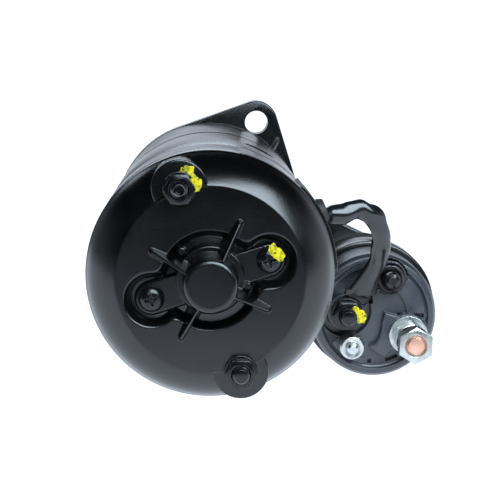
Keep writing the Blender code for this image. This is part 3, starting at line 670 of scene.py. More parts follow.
def cover_height(x, z):
    """Height of the cast face above its flat level: recess, shelves, collar, boss, root blocks and ribs."""
    values = sizes()
    radius = math.hypot(x, z)
    draft = values.draft
    outline = POCKET_R - radius
    shelf = -1.0
    for centre in SCREW_CENTRES:
        away = math.hypot(x - centre.x, z - centre.z)
        outline = soft_max(outline, LOBE_R - away, LOBE_BLEND)
        reach = centre.length
        along = min(max((x * centre.x + z * centre.z) / reach, 0.0), reach)
        gap = math.hypot(x - centre.x * along / reach, z - centre.z * along / reach)
        shelf = max(shelf, SHELF_HALF - gap)
    floor = -values.pocket_depth * smoothstep(-1.7 * MM, draft, outline)
    step = values.pocket_depth - values.shelf_depth
    if floor < -values.shelf_depth:
        raised = -values.pocket_depth + step * smoothstep(-0.5 * MM, 0.5 * MM, shelf)
        floor = soft_max(floor, raised, 0.3 * MM)
    collar = -values.pocket_depth + COLLAR_HEIGHT * smoothstep(COLLAR_FOOT, COLLAR_TOP, radius)
    height = soft_max(floor, collar, 0.4 * MM)
    boss_top = FACE_Y - BOSS_Y
    inside = BOSS_R - radius
    if inside > -0.5 * MM:
        lean = max(BOSS_EDGE - max(inside, 0.0), 0.0)
        drop = BOSS_EDGE - math.sqrt(max(BOSS_EDGE ** 2 - lean ** 2, 0.0))
        wall = smoothstep(-0.5 * MM, 0.0, inside)
        height = height + (boss_top - drop - height) * wall
    for block in ROOT_BLOCKS:
        away = math.hypot(x - block.x, z - block.z)
        lifted = -values.pocket_depth + ROOT_BLOCK_HEIGHT * smoothstep(2.3 * MM, 1.2 * MM, away)
        height = soft_max(height, lifted, 0.4 * MM)
    for angle in RIB_ANGLES:
        outward = polar(1.0, angle)
        along = x * outward.x + z * outward.z
        across = abs(x * outward.z - z * outward.x)
        half = values.rib_thickness / 2
        if along < RIB_ROOT or across > half + 2.0 * MM:
            continue
        slope = max((along - BOSS_R) / (RIB_TIP - BOSS_R), 0.0)
        top = boss_top - RIB_DROP - slope * (boss_top - RIB_DROP - RIB_TIP_HEIGHT)
        across = math.hypot(across, max(along - RIB_TIP, 0.0))
        side = smoothstep(half + 1.3 * MM, 0.1 * MM, across)
        height = soft_max(height, -values.pocket_depth + (top + values.pocket_depth) * side, 0.7 * MM)
    return height


def build_rear_cover():
    """Spin the cover's section, then raise and sink the cast details of its face."""
    rings = 122
    section = [(0.0, FACE_Y)]
    section += [(FACE_R * (ring + 1) / rings, FACE_Y) for ring in range(rings)]
    shoulder = in_mm([(33.75, 0.08), (34.15, 0.28), (35.2, 0.93), (36.6, 1.85), (38.1, 2.98), (39.6, 4.3),
                      (41.0, 5.8), (42.2, 7.4), (43.2, 9.1), (43.95, 10.8), (44.4, 12.0), (44.75, 12.7)])
    section += [(radius, FACE_Y + depth) for radius, depth in shoulder]
    section += [(CASE_R, RIM_Y + 0.7 * MM), (CASE_R, SKIRT_Y - 0.6 * MM), (CASE_R - 0.6 * MM, SKIRT_Y),
                (COVER_INNER_R, SKIRT_Y), (COVER_INNER_R, RIM_Y),
                (32.0 * MM, FACE_Y + 4.5 * MM), (0.0, FACE_Y + 8.5 * MM)]
    bm = turned(section, 400)
    for vert in bm.verts:
        if vert.co.y < FACE_Y + 0.001 * MM:
            radius = math.hypot(vert.co.x, vert.co.z)
            angle = math.degrees(math.atan2(vert.co.z, vert.co.x))
            # The mesh is drawn together at the four ribs, which need the finest steps
            gather = GATHER * math.sin(math.radians(4.0 * (angle - RIB_ANGLES[0])))
            fade = smoothstep(FACE_R, FACE_R * 0.86, radius)
            vert.co = polar(radius, angle - gather * fade, vert.co.y)
            vert.co.y -= cover_height(vert.co.x, vert.co.z)
    pads = [stud_pad(node) for node in STUD_NODES]
    piece("rear_cover_casting", joined(bm, *pads, skirt_pad()), black_paint(),
          stands_for=("rear_cover",), smooth_angle=50.0)


def stud_pad(node):
    """A flat pad round a stud where the shoulder falls away; inside the flat face there is none."""
    disc = rounded(rod(STUD_PAD_R, FACE_Y + 0.02 * MM, RIM_Y - 1.0 * MM), [0, 0.6 * MM, 0, 0])
    inside_face = turned(rod(FACE_R - 0.3 * MM, FACE_Y - 1.0 * MM, RIM_Y), 160)
    return combined(turned(disc, 96, axis_point(node)), [("DIFFERENCE", inside_face)])


def skirt_pad():
    """The low pad on the cover's skirt beside the lead."""
    outline = ring_sector(43.8 * MM, 46.3 * MM, 1.0, 44.0, 36)
    return prism(outline, RIM_Y + 2.4 * MM, SKIRT_Y - 0.2 * MM, 0.4 * MM)


# Fasteners

def hexagon(across_flats, turn=30.0):
    return arc(across_flats / math.sqrt(3.0), turn, turn + 360.0, 6)[:-1]


def nut_shape(across_flats, bore_r, rear_y, front_y, at, turn=30.0):
    """A hexagon nut with chamfered corners and a countersunk bore."""
    corner = across_flats / math.sqrt(3.0)
    flat = across_flats / 2
    rise = (corner - flat) * 0.62
    blank = [(0.0, rear_y), (flat * 0.94, rear_y), (corner * 1.01, rear_y + rise),
             (corner * 1.01, front_y - rise), (flat * 0.94, front_y), (0.0, front_y)]
    sink = bore_r + 0.5 * MM
    bore = [(0.0, rear_y - 1.0 * MM), (sink + 1.0 * MM, rear_y - 1.0 * MM), (bore_r, rear_y + 0.5 * MM),
            (bore_r, front_y + 1.0 * MM), (0.0, front_y + 1.0 * MM)]
    solid = combined(prism(hexagon(across_flats, turn), rear_y - 0.5 * MM, front_y + 0.5 * MM),
                     [("INTERSECT", turned(blank, 72)), ("DIFFERENCE", turned(bore, 48))])
    return shifted(solid, at)


def threaded(radius, rear_y, front_y, pitch, at, dome=0.6 * MM, hollow=0.0):
    """A stud with a rounded or hollowed end and thread grooves, from rear_y to front_y."""
    profile = [(0.0, rear_y), (radius * 0.55, rear_y + dome * 0.12), (radius * 0.80, rear_y + dome * 0.45),
               (radius - 0.45 * pitch, rear_y + dome)]
    if hollow > 0.0:
        profile[:2] = [(0.0, rear_y + hollow), (radius * 0.42, rear_y + hollow),
                       (radius * 0.58, rear_y + dome * 0.3), (radius * 0.68, rear_y)]
    y = rear_y + dome + pitch * 0.25
    while y < front_y - pitch:
        profile += [(radius, y + pitch * 0.15), (radius, y + pitch * 0.35),
                    (radius - 0.5 * pitch, y + pitch * 0.75)]
        y += pitch
    profile += [(radius, front_y - pitch * 0.3), (radius, front_y), (0.0, front_y)]
    return turned(profile, 48, at)


def washer_shape(inner_r, outer_r, rear_y, front_y, at):
    return turned(rounded(tube(inner_r, outer_r, rear_y, front_y), (front_y - rear_y) * 0.3), 64, at)


def build_cover_fasteners():
    """Through studs with nuts and washers, and the cross-recess cover screws."""
    for node in STUD_NODES:
        at = axis_point(node)
        word = node.rsplit("_", 1)[1]
        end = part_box(node)[0].y
        hollow = 1.6 * MM if word == "upper" else 0.0
        stud = threaded(3.0 * MM, end, FACE_Y + 6.0 * MM, 1.0 * MM, at, hollow=hollow)
        piece("stud_end_" + word, stud, black_steel(), stands_for=(node,))
        nut_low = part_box("stud_nut_" + word)[0].y
        nut = nut_shape(10.0 * MM, 3.05 * MM, nut_low, FACE_Y - 1.35 * MM, at, 0.0)
        piece("nut_" + word, nut, black_steel(), stands_for=("stud_nut_" + word,))
        washer = washer_shape(3.2 * MM, 5.9 * MM, FACE_Y - 1.3 * MM, FACE_Y - 0.02 * MM, at)
        piece("washer_" + word, washer, black_steel())
    for node in SCREW_NODES:
        build_cross_screw(node)


def build_cross_screw(node):
    """A domed screw head with a cross recess, on its plain shank."""
    at = axis_point(node)
    low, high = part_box(node)
    top, seat, radius = low.y, low.y + 3.1 * MM, 4.6 * MM
    head = [(0.0, top), (radius * 0.50, top + 0.12 * MM), (radius * 0.80, top + 0.62 * MM),
            (radius * 0.97, top + 1.5 * MM), (radius, top + 2.2 * MM), (radius, seat), (2.4 * MM, seat),
            (2.4 * MM, high.y), (0.0, high.y)]
    wing, half = 3.0 * MM, 0.55 * MM
    cuts = []
    for turn in (14.0, 104.0):
        bar = prism(oblong(wing, half), top - 1.0 * MM, top + 1.9 * MM)
        bmesh.ops.scale(bar, vec=(0.62, 1.0, 0.8), verts=[v for v in bar.verts if v.co.y > top])
        cuts.append(("DIFFERENCE", rotated(bar, turn)))
    cuts.append(("DIFFERENCE", turned(rod(1.25 * MM, top - 1.0 * MM, top + 2.2 * MM, 0.7 * MM), 24)))
    screw = shifted(combined(turned(head, 64), cuts), at)
    piece(node + "_head", screw, black_steel(), stands_for=(node,))


# Yoke and bracket

def build_yoke():
    """The steel tube between the cover and the bracket, with its pole screws and grommet."""
    wall = tube(39.5 * MM, CASE_R - 0.05 * MM, YOKE_LOW.y, YOKE_HIGH.y)
    middle = (YOKE_LOW.y + YOKE_HIGH.y) / 2
    cuts = []
    for angle in RIB_ANGLES:
        sink = turned(in_mm([(0, 36), (3.6, 36), (3.6, 41.3), (6.6, 41.3), (6.8, 50), (0, 50)]), 48)
        cuts.append(("DIFFERENCE", set_radially(sink, middle, angle)))
    slot_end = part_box("cable_grommet")[1].y - 3.2 * MM
    slot = prism(ring_sector(30 * MM, 50 * MM, 17.5, 30.5, 6), YOKE_LOW.y - 10 * MM, slot_end)
    cuts.append(("DIFFERENCE", slot))
    shell = combined(turned(rounded(wall, [0, 0.9 * MM, 0.7 * MM, 0], 2), 192), cuts)
    piece("yoke_tube", shell, black_paint(), stands_for=("yoke",))
    for number, angle in enumerate(RIB_ANGLES, 1):
        head = turned(in_mm([(0, 33.5), (3.4, 33.5), (3.4, 41.4), (5.9, 41.5), (5.8, 42.6), (5.3, 43.1),
                             (0, 43.2)]), 48)
        bar = prism(oblong(0.75 * MM, 8 * MM), 42 * MM, 50 * MM)
        screw = set_radially(combined(head, [("DIFFERENCE", bar)]), middle, angle)
        piece("pole_screw_head_%d" % number, screw, black_paint(),
              stands_for=("pole_screw_%d" % number,))
    build_grommet()


def set_radially(shape, y, angle):
    """Lay a shape made along Y so that it points out of the case at y, at an angle."""
    return rotated(shifted(rotated(shape, -90.0, "Z"), (0.0, y, 0.0)), angle)


def build_grommet():
    """The rubber moulding that the lead leaves the yoke through: plate, plug and collar."""
    low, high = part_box("cable_grommet")
    plate = prism(ring_sector(44.9 * MM, 46.5 * MM, 17.0, 29.5, 18), low.y, high.y, 0.6 * MM)
    plug = prism(ring_sector(40.0 * MM, 45.6 * MM, 18.2, 29.8, 8), low.y + 0.1 * MM, high.y - 3.6 * MM)
    collar = turned(rounded(in_mm([(3.2, 46.4), (5.4, 46.4), (4.4, 49.0), (3.2, 49.0)]), 0.4 * MM), 40)
    set_radially(collar, low.y + 6.7 * MM, 23.0)
    piece("grommet_moulding", joined(plate, plug, collar), rubber_black(),
          stands_for=("cable_grommet",))


def build_centre_plate():
    """The disc between yoke and bracket, with a hub for the middle bearing."""
    low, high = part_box("centre_bearing_plate")
    rim = tube(14.0 * MM, high.x, YOKE_HIGH.y + 0.1 * MM, BRACKET_LOW.y - 0.1 * MM)
    rim += [(12.0 * MM, high.y), (8.6 * MM, high.y), (8.6 * MM, low.y), (12.0 * MM, low.y)]
    piece("centre_plate_disc", turned(rounded(rim, 0.5 * MM)), black_paint(),
          stands_for=("centre_bearing_plate",))


EAR_ANGLES = (63.3, 243.3)
EAR_PITCH_R = 50.6 * MM
FLANGE_THICKNESS = 12.0 * MM


def bracket_tools():
    """The shapes that are added to the bracket's turned shell, then those cut from it."""
    ears = circle(45.2 * MM, steps=96)
    for angle in EAR_ANGLES:
        tip = polar(EAR_PITCH_R, angle)
        ears += circle(10.14 * MM, (tip.x, tip.z), 48)
    mount = hull(circle(27 * MM, (20 * MM, 0.0), 72) + circle(24.4 * MM, (SOLENOID_PITCH, 0.0), 72))
    housing = rounded([(20, -53.5), (88, -53.5), (89.5, -47), (88, -12), (78, -6), (20, -6)], 5.0, 5)
    added = [prism(hull(ears), -FLANGE_THICKNESS, 0.0, 0.8 * MM, 3),
             rotated(prism(mount, -54.0 * MM, -46.0 * MM, 0.8 * MM, 3), SOLENOID_ANGLE),
             rotated(side_slab(in_mm(housing), 16.5 * MM, 1.5 * MM), SOLENOID_ANGLE)]
    gusset = in_mm([(42, -28), (44.9, -28), (50.5, -11.5), (42, -11.5)])
    added += [rotated(side_slab(gusset, 1.4 * MM, 0.7 * MM), angle - 15.0) for angle in EAR_ANGLES]
    hollow = [(0, -62.5), (27, -62.5), (38.5, -58), (38.5, -14), (27.5, -8), (25.5, -4), (25.5, 47), (21, 50),
              (0, 50)]
    lever_room = [(10, -50), (84, -50), (85, -46), (84, -16), (76, -10.5), (10, -10.5)]
    window = rounded([(8, 14), (60, 14), (60, 46), (8, 46)], 5.0, 5)
    cut = [turned(in_mm(hollow), 120),
           rotated(side_slab(in_mm(lever_room), 12.5 * MM), SOLENOID_ANGLE),
           turned(rod(12.5 * MM, -64 * MM, -40 * MM), 64, SOLENOID_AXIS),
           turned(rod(8.08 * MM, 40 * MM, 66 * MM), 48),
           rotated(side_slab(in_mm(window), 42 * MM), SOLENOID_ANGLE + 180.0)]
    cut += [turned(rod(5.5 * MM, -20 * MM, 10 * MM), 64, polar(EAR_PITCH_R, angle)) for angle in EAR_ANGLES]
    return added, cut


def side_slab(outline, half_width, edge=0.0):
    """A slab in the plane of X and Y, from (x, y) points, as thick along Z as twice half_width."""
    slab = prism(outline, -half_width, half_width, edge)
    bmesh.ops.rotate(slab, verts=slab.verts, cent=(0, 0, 0), matrix=Matrix.Rotation(-math.pi / 2, 3, "X"))
    return slab


def build_bracket():
    """The drive-end casting: barrel, flange with ears, lever housing and nose."""
    outer = CASE_R - 0.25 * MM
    barrel = [(0.0, -60 * MM), (28.5 * MM, -60 * MM), (28.5 * MM, BRACKET_LOW.y),
              (outer - 0.9 * MM, BRACKET_LOW.y), (outer, BRACKET_LOW.y + 0.9 * MM), (outer, -20 * MM),
              (outer + 0.2 * MM, -13 * MM), (outer + 0.2 * MM, -4 * MM)]
    spigot = [(40, -4), (40, 4.4), (39.4, 5), (34.5, 5), (32.4, 6)]
    nose = [(31.2, 9), (31, 14), (31, 46), (30.2, 49), (28, 51.5), (24.5, 53.4), (17, 55), (14.6, 57),
            (13.7, 67), (13.1, 68), (0, 68)]
    added, cut = bracket_tools()
    steps = [("UNION", tool) for tool in added] + [("DIFFERENCE", tool) for tool in cut]
    casting = combined(turned(barrel + in_mm(spigot + nose), 144), steps)
    piece("drive_end_casting", casting, black_paint(), stands_for=("drive_end_bracket",))


# Solenoid

def build_solenoid_can():
    """The drawn steel can, crimped over the cap at its rear and narrower ahead of the crimp."""
    low, high = CAN_LOW, CAN_HIGH
    radius = (high.x - low.x) / 2
    body = radius - 2.8 * MM
    crimp = low.y + 13.0 * MM
    outside = [(24.6 * MM, low.y), (radius - 1.0 * MM, low.y), (radius - 0.3 * MM, low.y + 0.3 * MM),
               (radius, low.y + 1.0 * MM), (radius, crimp), (radius - 0.4 * MM, crimp + 1.2 * MM),
               (body + 0.5 * MM, crimp + 3.6 * MM), (body, crimp + 4.6 * MM), (body, high.y - 1.6 * MM),
               (body - 0.5 * MM, high.y - 0.5 * MM), (body - 1.6 * MM, high.y), (10.6 * MM, high.y),
               (10.6 * MM, high.y - 8 * MM), (24.6 * MM, high.y - 8 * MM)]
    piece("solenoid_shell", turned(outside, 144, SOLENOID_AXIS), black_paint(),
          stands_for=("solenoid_can",))


def build_solenoid_cap():
    """The moulded end cap: rolled rim, a raised island, wells round the terminals and radial steps."""
    face, front, radius = CAP_FACE_Y, CAP_HIGH.y, 25.9 * MM
    shell = [(0.0, face + 1.2 * MM), (21.3 * MM, face + 1.2 * MM), (21.9 * MM, face + 0.9 * MM),
             (22.5 * MM, face + 0.1 * MM), (23.3 * MM, face), (24.6 * MM, face + 0.5 * MM),
             (radius - 0.2 * MM, face + 2.0 * MM), (radius, face + 3.4 * MM), (radius, front - 0.6 * MM),
             (radius - 0.5 * MM, front), (22.9 * MM, front), (22.9 * MM, face + 7 * MM), (0.0, face + 7 * MM)]
    cuts = []
    for at, size, depth in ((motor_place(), 10.6, 5.2), (axis_point("return_terminal"), 7.4, 4.4)):
        well = rod((size + 0.5) * MM, face - 3 * MM, face + depth * MM, size * MM)
        cuts.append(("DIFFERENCE", turned(well, 64, at)))
    cuts.append(cap_cut(arc(20.4 * MM, 96.0, 168.0, 16) + arc(5.0 * MM, 168.0, 96.0, 6), 6.0 * MM))
    cuts.append(cap_cut(arc(20.6 * MM, -3.0, 1.5, 4) + arc(9.5 * MM, 6.0, -9.0, 4), 3.4 * MM))
    for start, end in ((284.0, 300.0), (262.0, 267.0)):
        cuts.append(cap_cut(ring_sector(18.6 * MM, 20.4 * MM, start, end, 8), 4.0 * MM))
    seat = rod(8.4 * MM, face - 1.9 * MM, face + 2.5 * MM, 8.9 * MM)
    pillar = rod(7.6 * MM, face - 1.7 * MM, face + 6.0 * MM, 8.2 * MM)
    island = prism(island_outline(), face - 2.3 * MM, face + 5.5 * MM, 0.6 * MM)
    shapes = [combined(turned(shell, 144, SOLENOID_AXIS), cuts),
              turned(rounded(seat, 0.4 * MM), 64, axis_point("battery_stud")),
              turned(rounded(pillar, 0.4 * MM), 64, motor_place()),
              shifted(island, SOLENOID_AXIS)]
    # Low steps of the face: start and end in degrees, inner and outer radius, height below the face
    for start, end, inner, outer, sink in ((2.0, 48.0, 13.5, 21.0, 0.1), (-44.0, -4.0, 19.0, 21.2, -0.6),
                                           (212.0, 258.0, 17.5, 21.0, 0.2)):
        sector = ring_sector(inner * MM, outer * MM, start, end, 16)
        shapes.append(shifted(prism(sector, face + sink * MM, face + 2.5 * MM, 0.3 * MM), SOLENOID_AXIS))
    piece("solenoid_end_cap", joined(*shapes), moulded_black(), stands_for=("solenoid_cap",))


def cap_cut(outline, depth):
    """A cut into the cap's face, from an outline round the solenoid's axis."""
    shape = prism(outline, CAP_FACE_Y - 3 * MM, CAP_FACE_Y + depth)
    return "DIFFERENCE", shifted(shape, SOLENOID_AXIS)


def island_outline():
    """The raised island between the terminals, hollowed towards each of them."""
    return in_mm([(4.0, 1.7), (7.6, 0.5), (11.2, -0.2), (8.9, -2.6), (7.6, -5.4), (7.2, -9.0), (8.0, -12.6),
                  (10.2, -16.2), (6.9, -14.3), (4.0, -17.3), (0.6, -15.0), (-2.5, -12.4), (0.2, -11.4),
                  (1.8, -9.2), (2.7, -5.4), (3.1, -2.0)])


def motor_place():
    """The motor terminal's axis; its nut hangs a little low on the slack of the lug."""
    return axis_point("motor_stud") + Vector((0.5 * MM, 0.0, -1.5 * MM))


def build_terminals():
    """Studs, nuts and washers on the cap."""
    build_battery_terminal()
    build_motor_terminal()
    build_switch_terminal()
    build_return_terminal()


def build_battery_terminal():
    """The copper stud with its upper nut, spring washer, lock nut and base washer."""
    at, bore_r = axis_point("battery_stud"), 4.05 * MM
    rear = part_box("battery_stud")[0].y
    low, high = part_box("battery_nut")
    stud = threaded(4.0 * MM, rear, CAP_FACE_Y + 12.0 * MM, 1.25 * MM, at, 0.5 * MM)
    piece("battery_stud_thread", stud, copper(), stands_for=("battery_stud",))
    nut = nut_shape(13.0 * MM, bore_r, low.y, high.y, at, 28.0)
    piece("battery_hex_nut", nut, zinc_plate(), stands_for=("battery_nut",))
    spring = washer_shape(4.2 * MM, 6.7 * MM, high.y + 0.2 * MM, high.y + 2.3 * MM, at)
    piece("battery_spring_washer", spring, black_steel())
    lock = nut_shape(11.0 * MM, bore_r, high.y + 7.4 * MM, CAP_FACE_Y - 3.9 * MM, at, 25.0)
    piece("battery_lock_nut", lock, zinc_plate())
    washer = washer_shape(4.2 * MM, 8.1 * MM, CAP_FACE_Y - 3.7 * MM, CAP_FACE_Y - 2.0 * MM, at)
    piece("battery_base_washer", washer, zinc_plate(), stands_for=("battery_washer",))


def build_motor_terminal():
    """The stud, nut and washer that hold the lead's lug."""
    at = motor_place()
    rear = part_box("motor_stud")[0].y
    low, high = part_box("motor_nut")
    stud = threaded(3.4 * MM, rear, CAP_FACE_Y + 12.0 * MM, 1.0 * MM, at, 0.7 * MM)
    piece("motor_stud_thread", stud, black_steel(), stands_for=("motor_stud",))
    nut = nut_shape(11.0 * MM, 3.45 * MM, low.y + 0.8 * MM, high.y - 1.2 * MM, at, 0.0)
    piece("motor_hex_nut", nut, black_steel(), stands_for=("motor_nut",))
    washer = washer_shape(3.6 * MM, 6.7 * MM, high.y - 1.1 * MM, high.y + 0.5 * MM, at)
    piece("motor_washer", washer, black_steel())


def build_switch_terminal():
    """The small pin of the switch circuit in its ring."""
    at = axis_point("switch_terminal")
    rear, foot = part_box("switch_terminal")[0].y, CAP_FACE_Y + 2.0 * MM
    collar = [(2.4 * MM, rear + 2.6 * MM), (4.6 * MM, rear + 2.2 * MM), (5.2 * MM, rear + 4.2 * MM),
              (5.2 * MM, foot - 0.5 * MM), (2.4 * MM, foot - 0.5 * MM)]
    piece("switch_terminal_ring", turned(rounded(collar, 0.5 * MM), 64, at), zinc_plate(),
          stands_for=("switch_terminal",))
    pin = [(0.0, rear), (1.3 * MM, rear + 0.15 * MM), (2.3 * MM, rear + 0.9 * MM),
           (2.6 * MM, rear + 2.2 * MM), (2.6 * MM, foot), (0.0, foot)]
    piece("switch_terminal_stud", turned(pin, 48, at), zinc_plate())


def build_return_terminal():
    """A domed stud over two cupped washers."""
    at = axis_point("return_terminal")
    rear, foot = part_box("return_terminal")[0].y, CAP_FACE_Y + 2.0 * MM
    dome = [(0.0, rear), (1.6 * MM, rear + 0.3 * MM), (2.9 * MM, rear + 1.2 * MM),
            (3.5 * MM, rear + 2.6 * MM), (3.5 * MM, foot), (0.0, foot)]
    piece("return_terminal_stud", turned(dome, 56, at), black_steel(),
          stands_for=("return_terminal",))
    upper_cup = [(3.6, -5.4), (5.5, -5.9), (5.7, -3.6), (3.6, -3.6)]
    lower_cup = [(3.6, -2.2), (6.9, -3.1), (7.1, 2.0), (3.6, 2.0)]
    cups = []
    for cup, edge in ((upper_cup, 0.5 * MM), (lower_cup, 0.6 * MM)):
        profile = [(radius, CAP_FACE_Y + y) for radius, y in in_mm(cup)]
        cups.append(turned(rounded(profile, edge), 64, at))
    piece("return_terminal_washers", joined(*cups), dark_plate())


# Lead

LEAD_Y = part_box("lead_lug")[0].y - 6.7 * MM
SLEEVE_SIDES = 40
SLEEVE_STEPS = 6        # rings between two stations


def sleeve_route():
    """Stations along the sleeve, from the motor terminal: place, half width and half thickness in mm."""
    motor = axis_point("motor_stud")
    stations = (
        (-10.4, -20.6, 42.5, 3.0, 2.9), (-8.0, -20.6, 42.8, 3.9, 3.5), (-4.3, -20.1, 43.0, 4.2, 3.5),
        (-0.1, -19.3, 44.4, 3.6, 2.8), (3.4, -18.7, 44.3, 3.6, 2.7), (7.4, -18.1, 42.2, 4.1, 2.8),
        (10.4, -16.1, 37.2, 4.0, 2.2), (11.7, -13.6, 33.3, 3.8, 2.1), (12.1, -10.6, 29.4, 3.9, 2.1),
        (12.1, -7.1, 25.4, 3.8, 2.1), (11.6, -3.6, 21.4, 3.8, 2.1), (10.2, -0.3, 17.4, 3.9, 2.1),
        (8.6, 2.4, 13.4, 4.4, 2.0), (7.0, 4.2, 9.8, 5.6, 1.8), (6.2, 5.1, 6.9, 7.1, 1.5))
    origin = Vector((motor.x, LEAD_Y, motor.z))
    return [(origin + Vector((x, y, z)) * MM, wide, thick) for x, y, z, wide, thick in stations]


def smooth_values(rows, steps):
    """A Catmull-Rom curve through rows of numbers, with that many steps between each two."""
    padded = [rows[0] * 2 - rows[1]] + rows + [rows[-1] * 2 - rows[-2]]
    path = []
    for index in range(1, len(padded) - 2):
        before, start, end, after = padded[index - 1:index + 3]
        for step in range(steps):
            t = step / steps
            path.append(0.5 * (2 * start + (end - before) * t
                               + (2 * before - 5 * start + 4 * end - after) * t * t
                               + (3 * start - before - 3 * end + after) * t ** 3))
    return path + [rows[-1]]


def sleeve_ring(bm, places, shape, index):
    """One oval ring of the flattened sleeve, creased, and laid level towards the lug."""
    count = len(places)
    along = (places[min(index + 1, count - 1)] - places[max(index - 1, 0)]).normalized()
    wide_axis = along.cross(Vector((0.0, -1.0, 0.0))).normalized()
    level = smoothstep(count - 22, count - 4, index)
    wide_axis = wide_axis.lerp(Vector((1.0 if wide_axis.x > 0.0 else -1.0, 0.0, 0.0)), level).normalized()
    thick_axis = wide_axis.cross(along).normalized()
    fold = math.exp(-((index - 27) / 12.0) ** 2)
    fade = smoothstep(0, 12, index) * smoothstep(count - 1, count - 16, index)
    ring = []
    for side in range(SLEEVE_SIDES):
        turn = math.tau * side / SLEEVE_SIDES
        around = wide_axis * math.cos(turn) * 0.9 + thick_axis * math.sin(turn) * 0.7
        crease = noise.noise(places[index] * 190.0 + around)
        grow = 1.0 + (0.07 + 0.22 * fold) * crease * fade
        offset = wide_axis * (math.cos(turn) * shape.x) + thick_axis * (math.sin(turn) * shape.y)
        ring.append(bm.verts.new(places[index] + offset * MM * grow))
    return ring


def build_lead():
    """A flattened, creased sleeve lofted along the lead, with the lug under its end."""
    route = sleeve_route()
    places = smooth_values([place for place, _, _ in route], SLEEVE_STEPS)
    shapes = smooth_values([Vector((wide, thick)) for _, wide, thick in route], SLEEVE_STEPS)
    bm = bmesh.new()
    mouth = skinned(bm, [sleeve_ring(bm, places, shape, index) for index, shape in enumerate(shapes)])
    bmesh.ops.inset_region(bm, faces=[mouth], thickness=0.7 * MM, depth=0.0)
    bmesh.ops.translate(bm, verts=mouth.verts, vec=(places[-2] - places[-1]).normalized() * 2.5 * MM)
    piece("lead_sleeve", bm, sleeve_black(), stands_for=("motor_lead",), smooth_angle=60.0)
    build_lug()


def build_lug():
    """The flat lug: an eye on the motor terminal and a tongue under the sleeve."""
    low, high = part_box("lead_lug")
    eye = turned(rounded(tube(3.6 * MM, 6.5 * MM, low.y, high.y), 0.3 * MM), 64)
    tongue = prism(in_mm([(5.8, -3.4), (9.8, -4.2), (9.8, 4.2), (5.8, 3.4)]),
                   low.y + 0.05 * MM, high.y - 0.05 * MM, 0.3 * MM)
    lug = joined(eye, rotated(tongue, 58.0))
    piece("lead_lug_plate", shifted(lug, motor_place()), black_steel(), stands_for=("lead_lug",))


# Inspection paint

def daub(name, at, length, width, turn, seed):
    """A thin, ragged brush mark lying on a face turned to the rear."""
    bm = bmesh.new()
    bmesh.ops.create_grid(bm, x_segments=36, y_segments=24, size=0.5)
    for vert in bm.verts:
        reach = math.hypot(vert.co.x, vert.co.y) * 2.0
        limit = max(abs(vert.co.x), abs(vert.co.y)) * 2.0
        ragged = 1.0 + 0.26 * noise.noise(Vector((vert.co.x * 3.2, vert.co.y * 3.2, seed)))
        squeeze = limit / reach if reach > 1e-6 else 1.0
        vert.co.x *= squeeze * ragged * length
        vert.co.y *= squeeze * ragged * width
        vert.co.z = 0.10 * MM + 0.22 * MM * (1.0 - limit ** 3) * (0.8 + 0.5 * noise.noise(
            Vector((vert.co.x * 900.0, vert.co.y * 500.0, seed))))
    grown = bmesh.ops.extrude_face_region(bm, geom=list(bm.faces))
    under = [item for item in grown["geom"] if isinstance(item, bmesh.types.BMVert)]
    for vert in under:
        vert.co.z = -0.25 * MM
    bmesh.ops.rotate(bm, verts=bm.verts, cent=(0, 0, 0), matrix=Matrix.Rotation(math.pi / 2, 3, "X"))
    rotated(bm, turn)
    shifted(bm, at)
    piece(name, bm, marking_paint(), smooth_angle=60.0)


def build_marks():
    """Ragged daubs on the upper nut and pad, one cover screw and the motor terminal's nut."""
    stud, screw, motor = axis_point("through_stud_upper"), axis_point("cover_screw_right"), motor_place()
    screw_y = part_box("cover_screw_right")[0].y
    nut_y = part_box("motor_nut")[0].y + 0.8 * MM
    # Name, axis, y, place across the face in mm, length and width in mm, turn in degrees, seed
    rows = (
        ("mark_upper_pad", stud, FACE_Y - 0.2 * MM, (2.7, 5.9), (5.2, 3.9), 20.0, 2.0),
        ("mark_upper_run", stud, FACE_Y - 0.5 * MM, (4.4, 3.4), (6.0, 3.2), 128.0, 5.0),
        ("mark_upper_nut", stud, FACE_Y - 1.4 * MM, (5.7, 1.5), (5.4, 4.3), 80.0, 1.0),
        ("mark_screw_pad", screw, screw_y - 0.2 * MM, (0.9, 4.9), (3.6, 2.4), 60.0, 3.0),
        ("mark_screw_head", screw, screw_y - 0.25 * MM, (2.6, 2.7), (5.8, 4.2), 142.0, 7.0),
        ("mark_motor_nut", motor, nut_y, (5.0, -0.1), (4.6, 6.0), 5.0, 4.0),
        ("mark_motor_edge", motor, nut_y, (3.0, 2.6), (2.6, 3.4), 5.0, 9.0))
    for name, axis, y, (x, z), (length, width), turn, seed in rows:
        daub(name, axis + Vector((x * MM, y, z * MM)), length * MM, width * MM, turn, seed)


# Inner pieces: the spring is built, the others keep their CAD shape and get a finish

def coil_spring(radius, wire, low, high, turns, at):
    """A helical spring along Y with closed ends."""
    bm = bmesh.new()
    per_turn, sides = 36, 10
    count = turns * per_turn
    end_rise = 2.2 * wire
    rise = (high - low - 2 * wire - 2 * end_rise) / (turns - 2)
    y = low + wire
    rings = []
    for step in range(count + 1):
        outward = polar(1.0, 360.0 * step / per_turn)
        centre = at + outward * radius + Vector((0.0, y, 0.0))
        rings.append([bm.verts.new(centre + outward * out + Vector((0.0, along, 0.0)))
                      for out, along in circle(wire, steps=sides)])
        y += (end_rise if step < per_turn or step >= count - per_turn else rise) / per_turn
    skinned(bm, rings)
    return bm


def build_plunger_spring():
    """The coiled return spring round the plunger, on a mesh of its own."""
    low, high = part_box("plunger_spring")
    at = axis_point("solenoid_plunger")
    spring = piece("return_spring", coil_spring(6.8 * MM, 0.7 * MM, low.y, high.y, 6, at), machined_steel(),
                   stands_for=("plunger_spring",))
    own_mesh(spring)


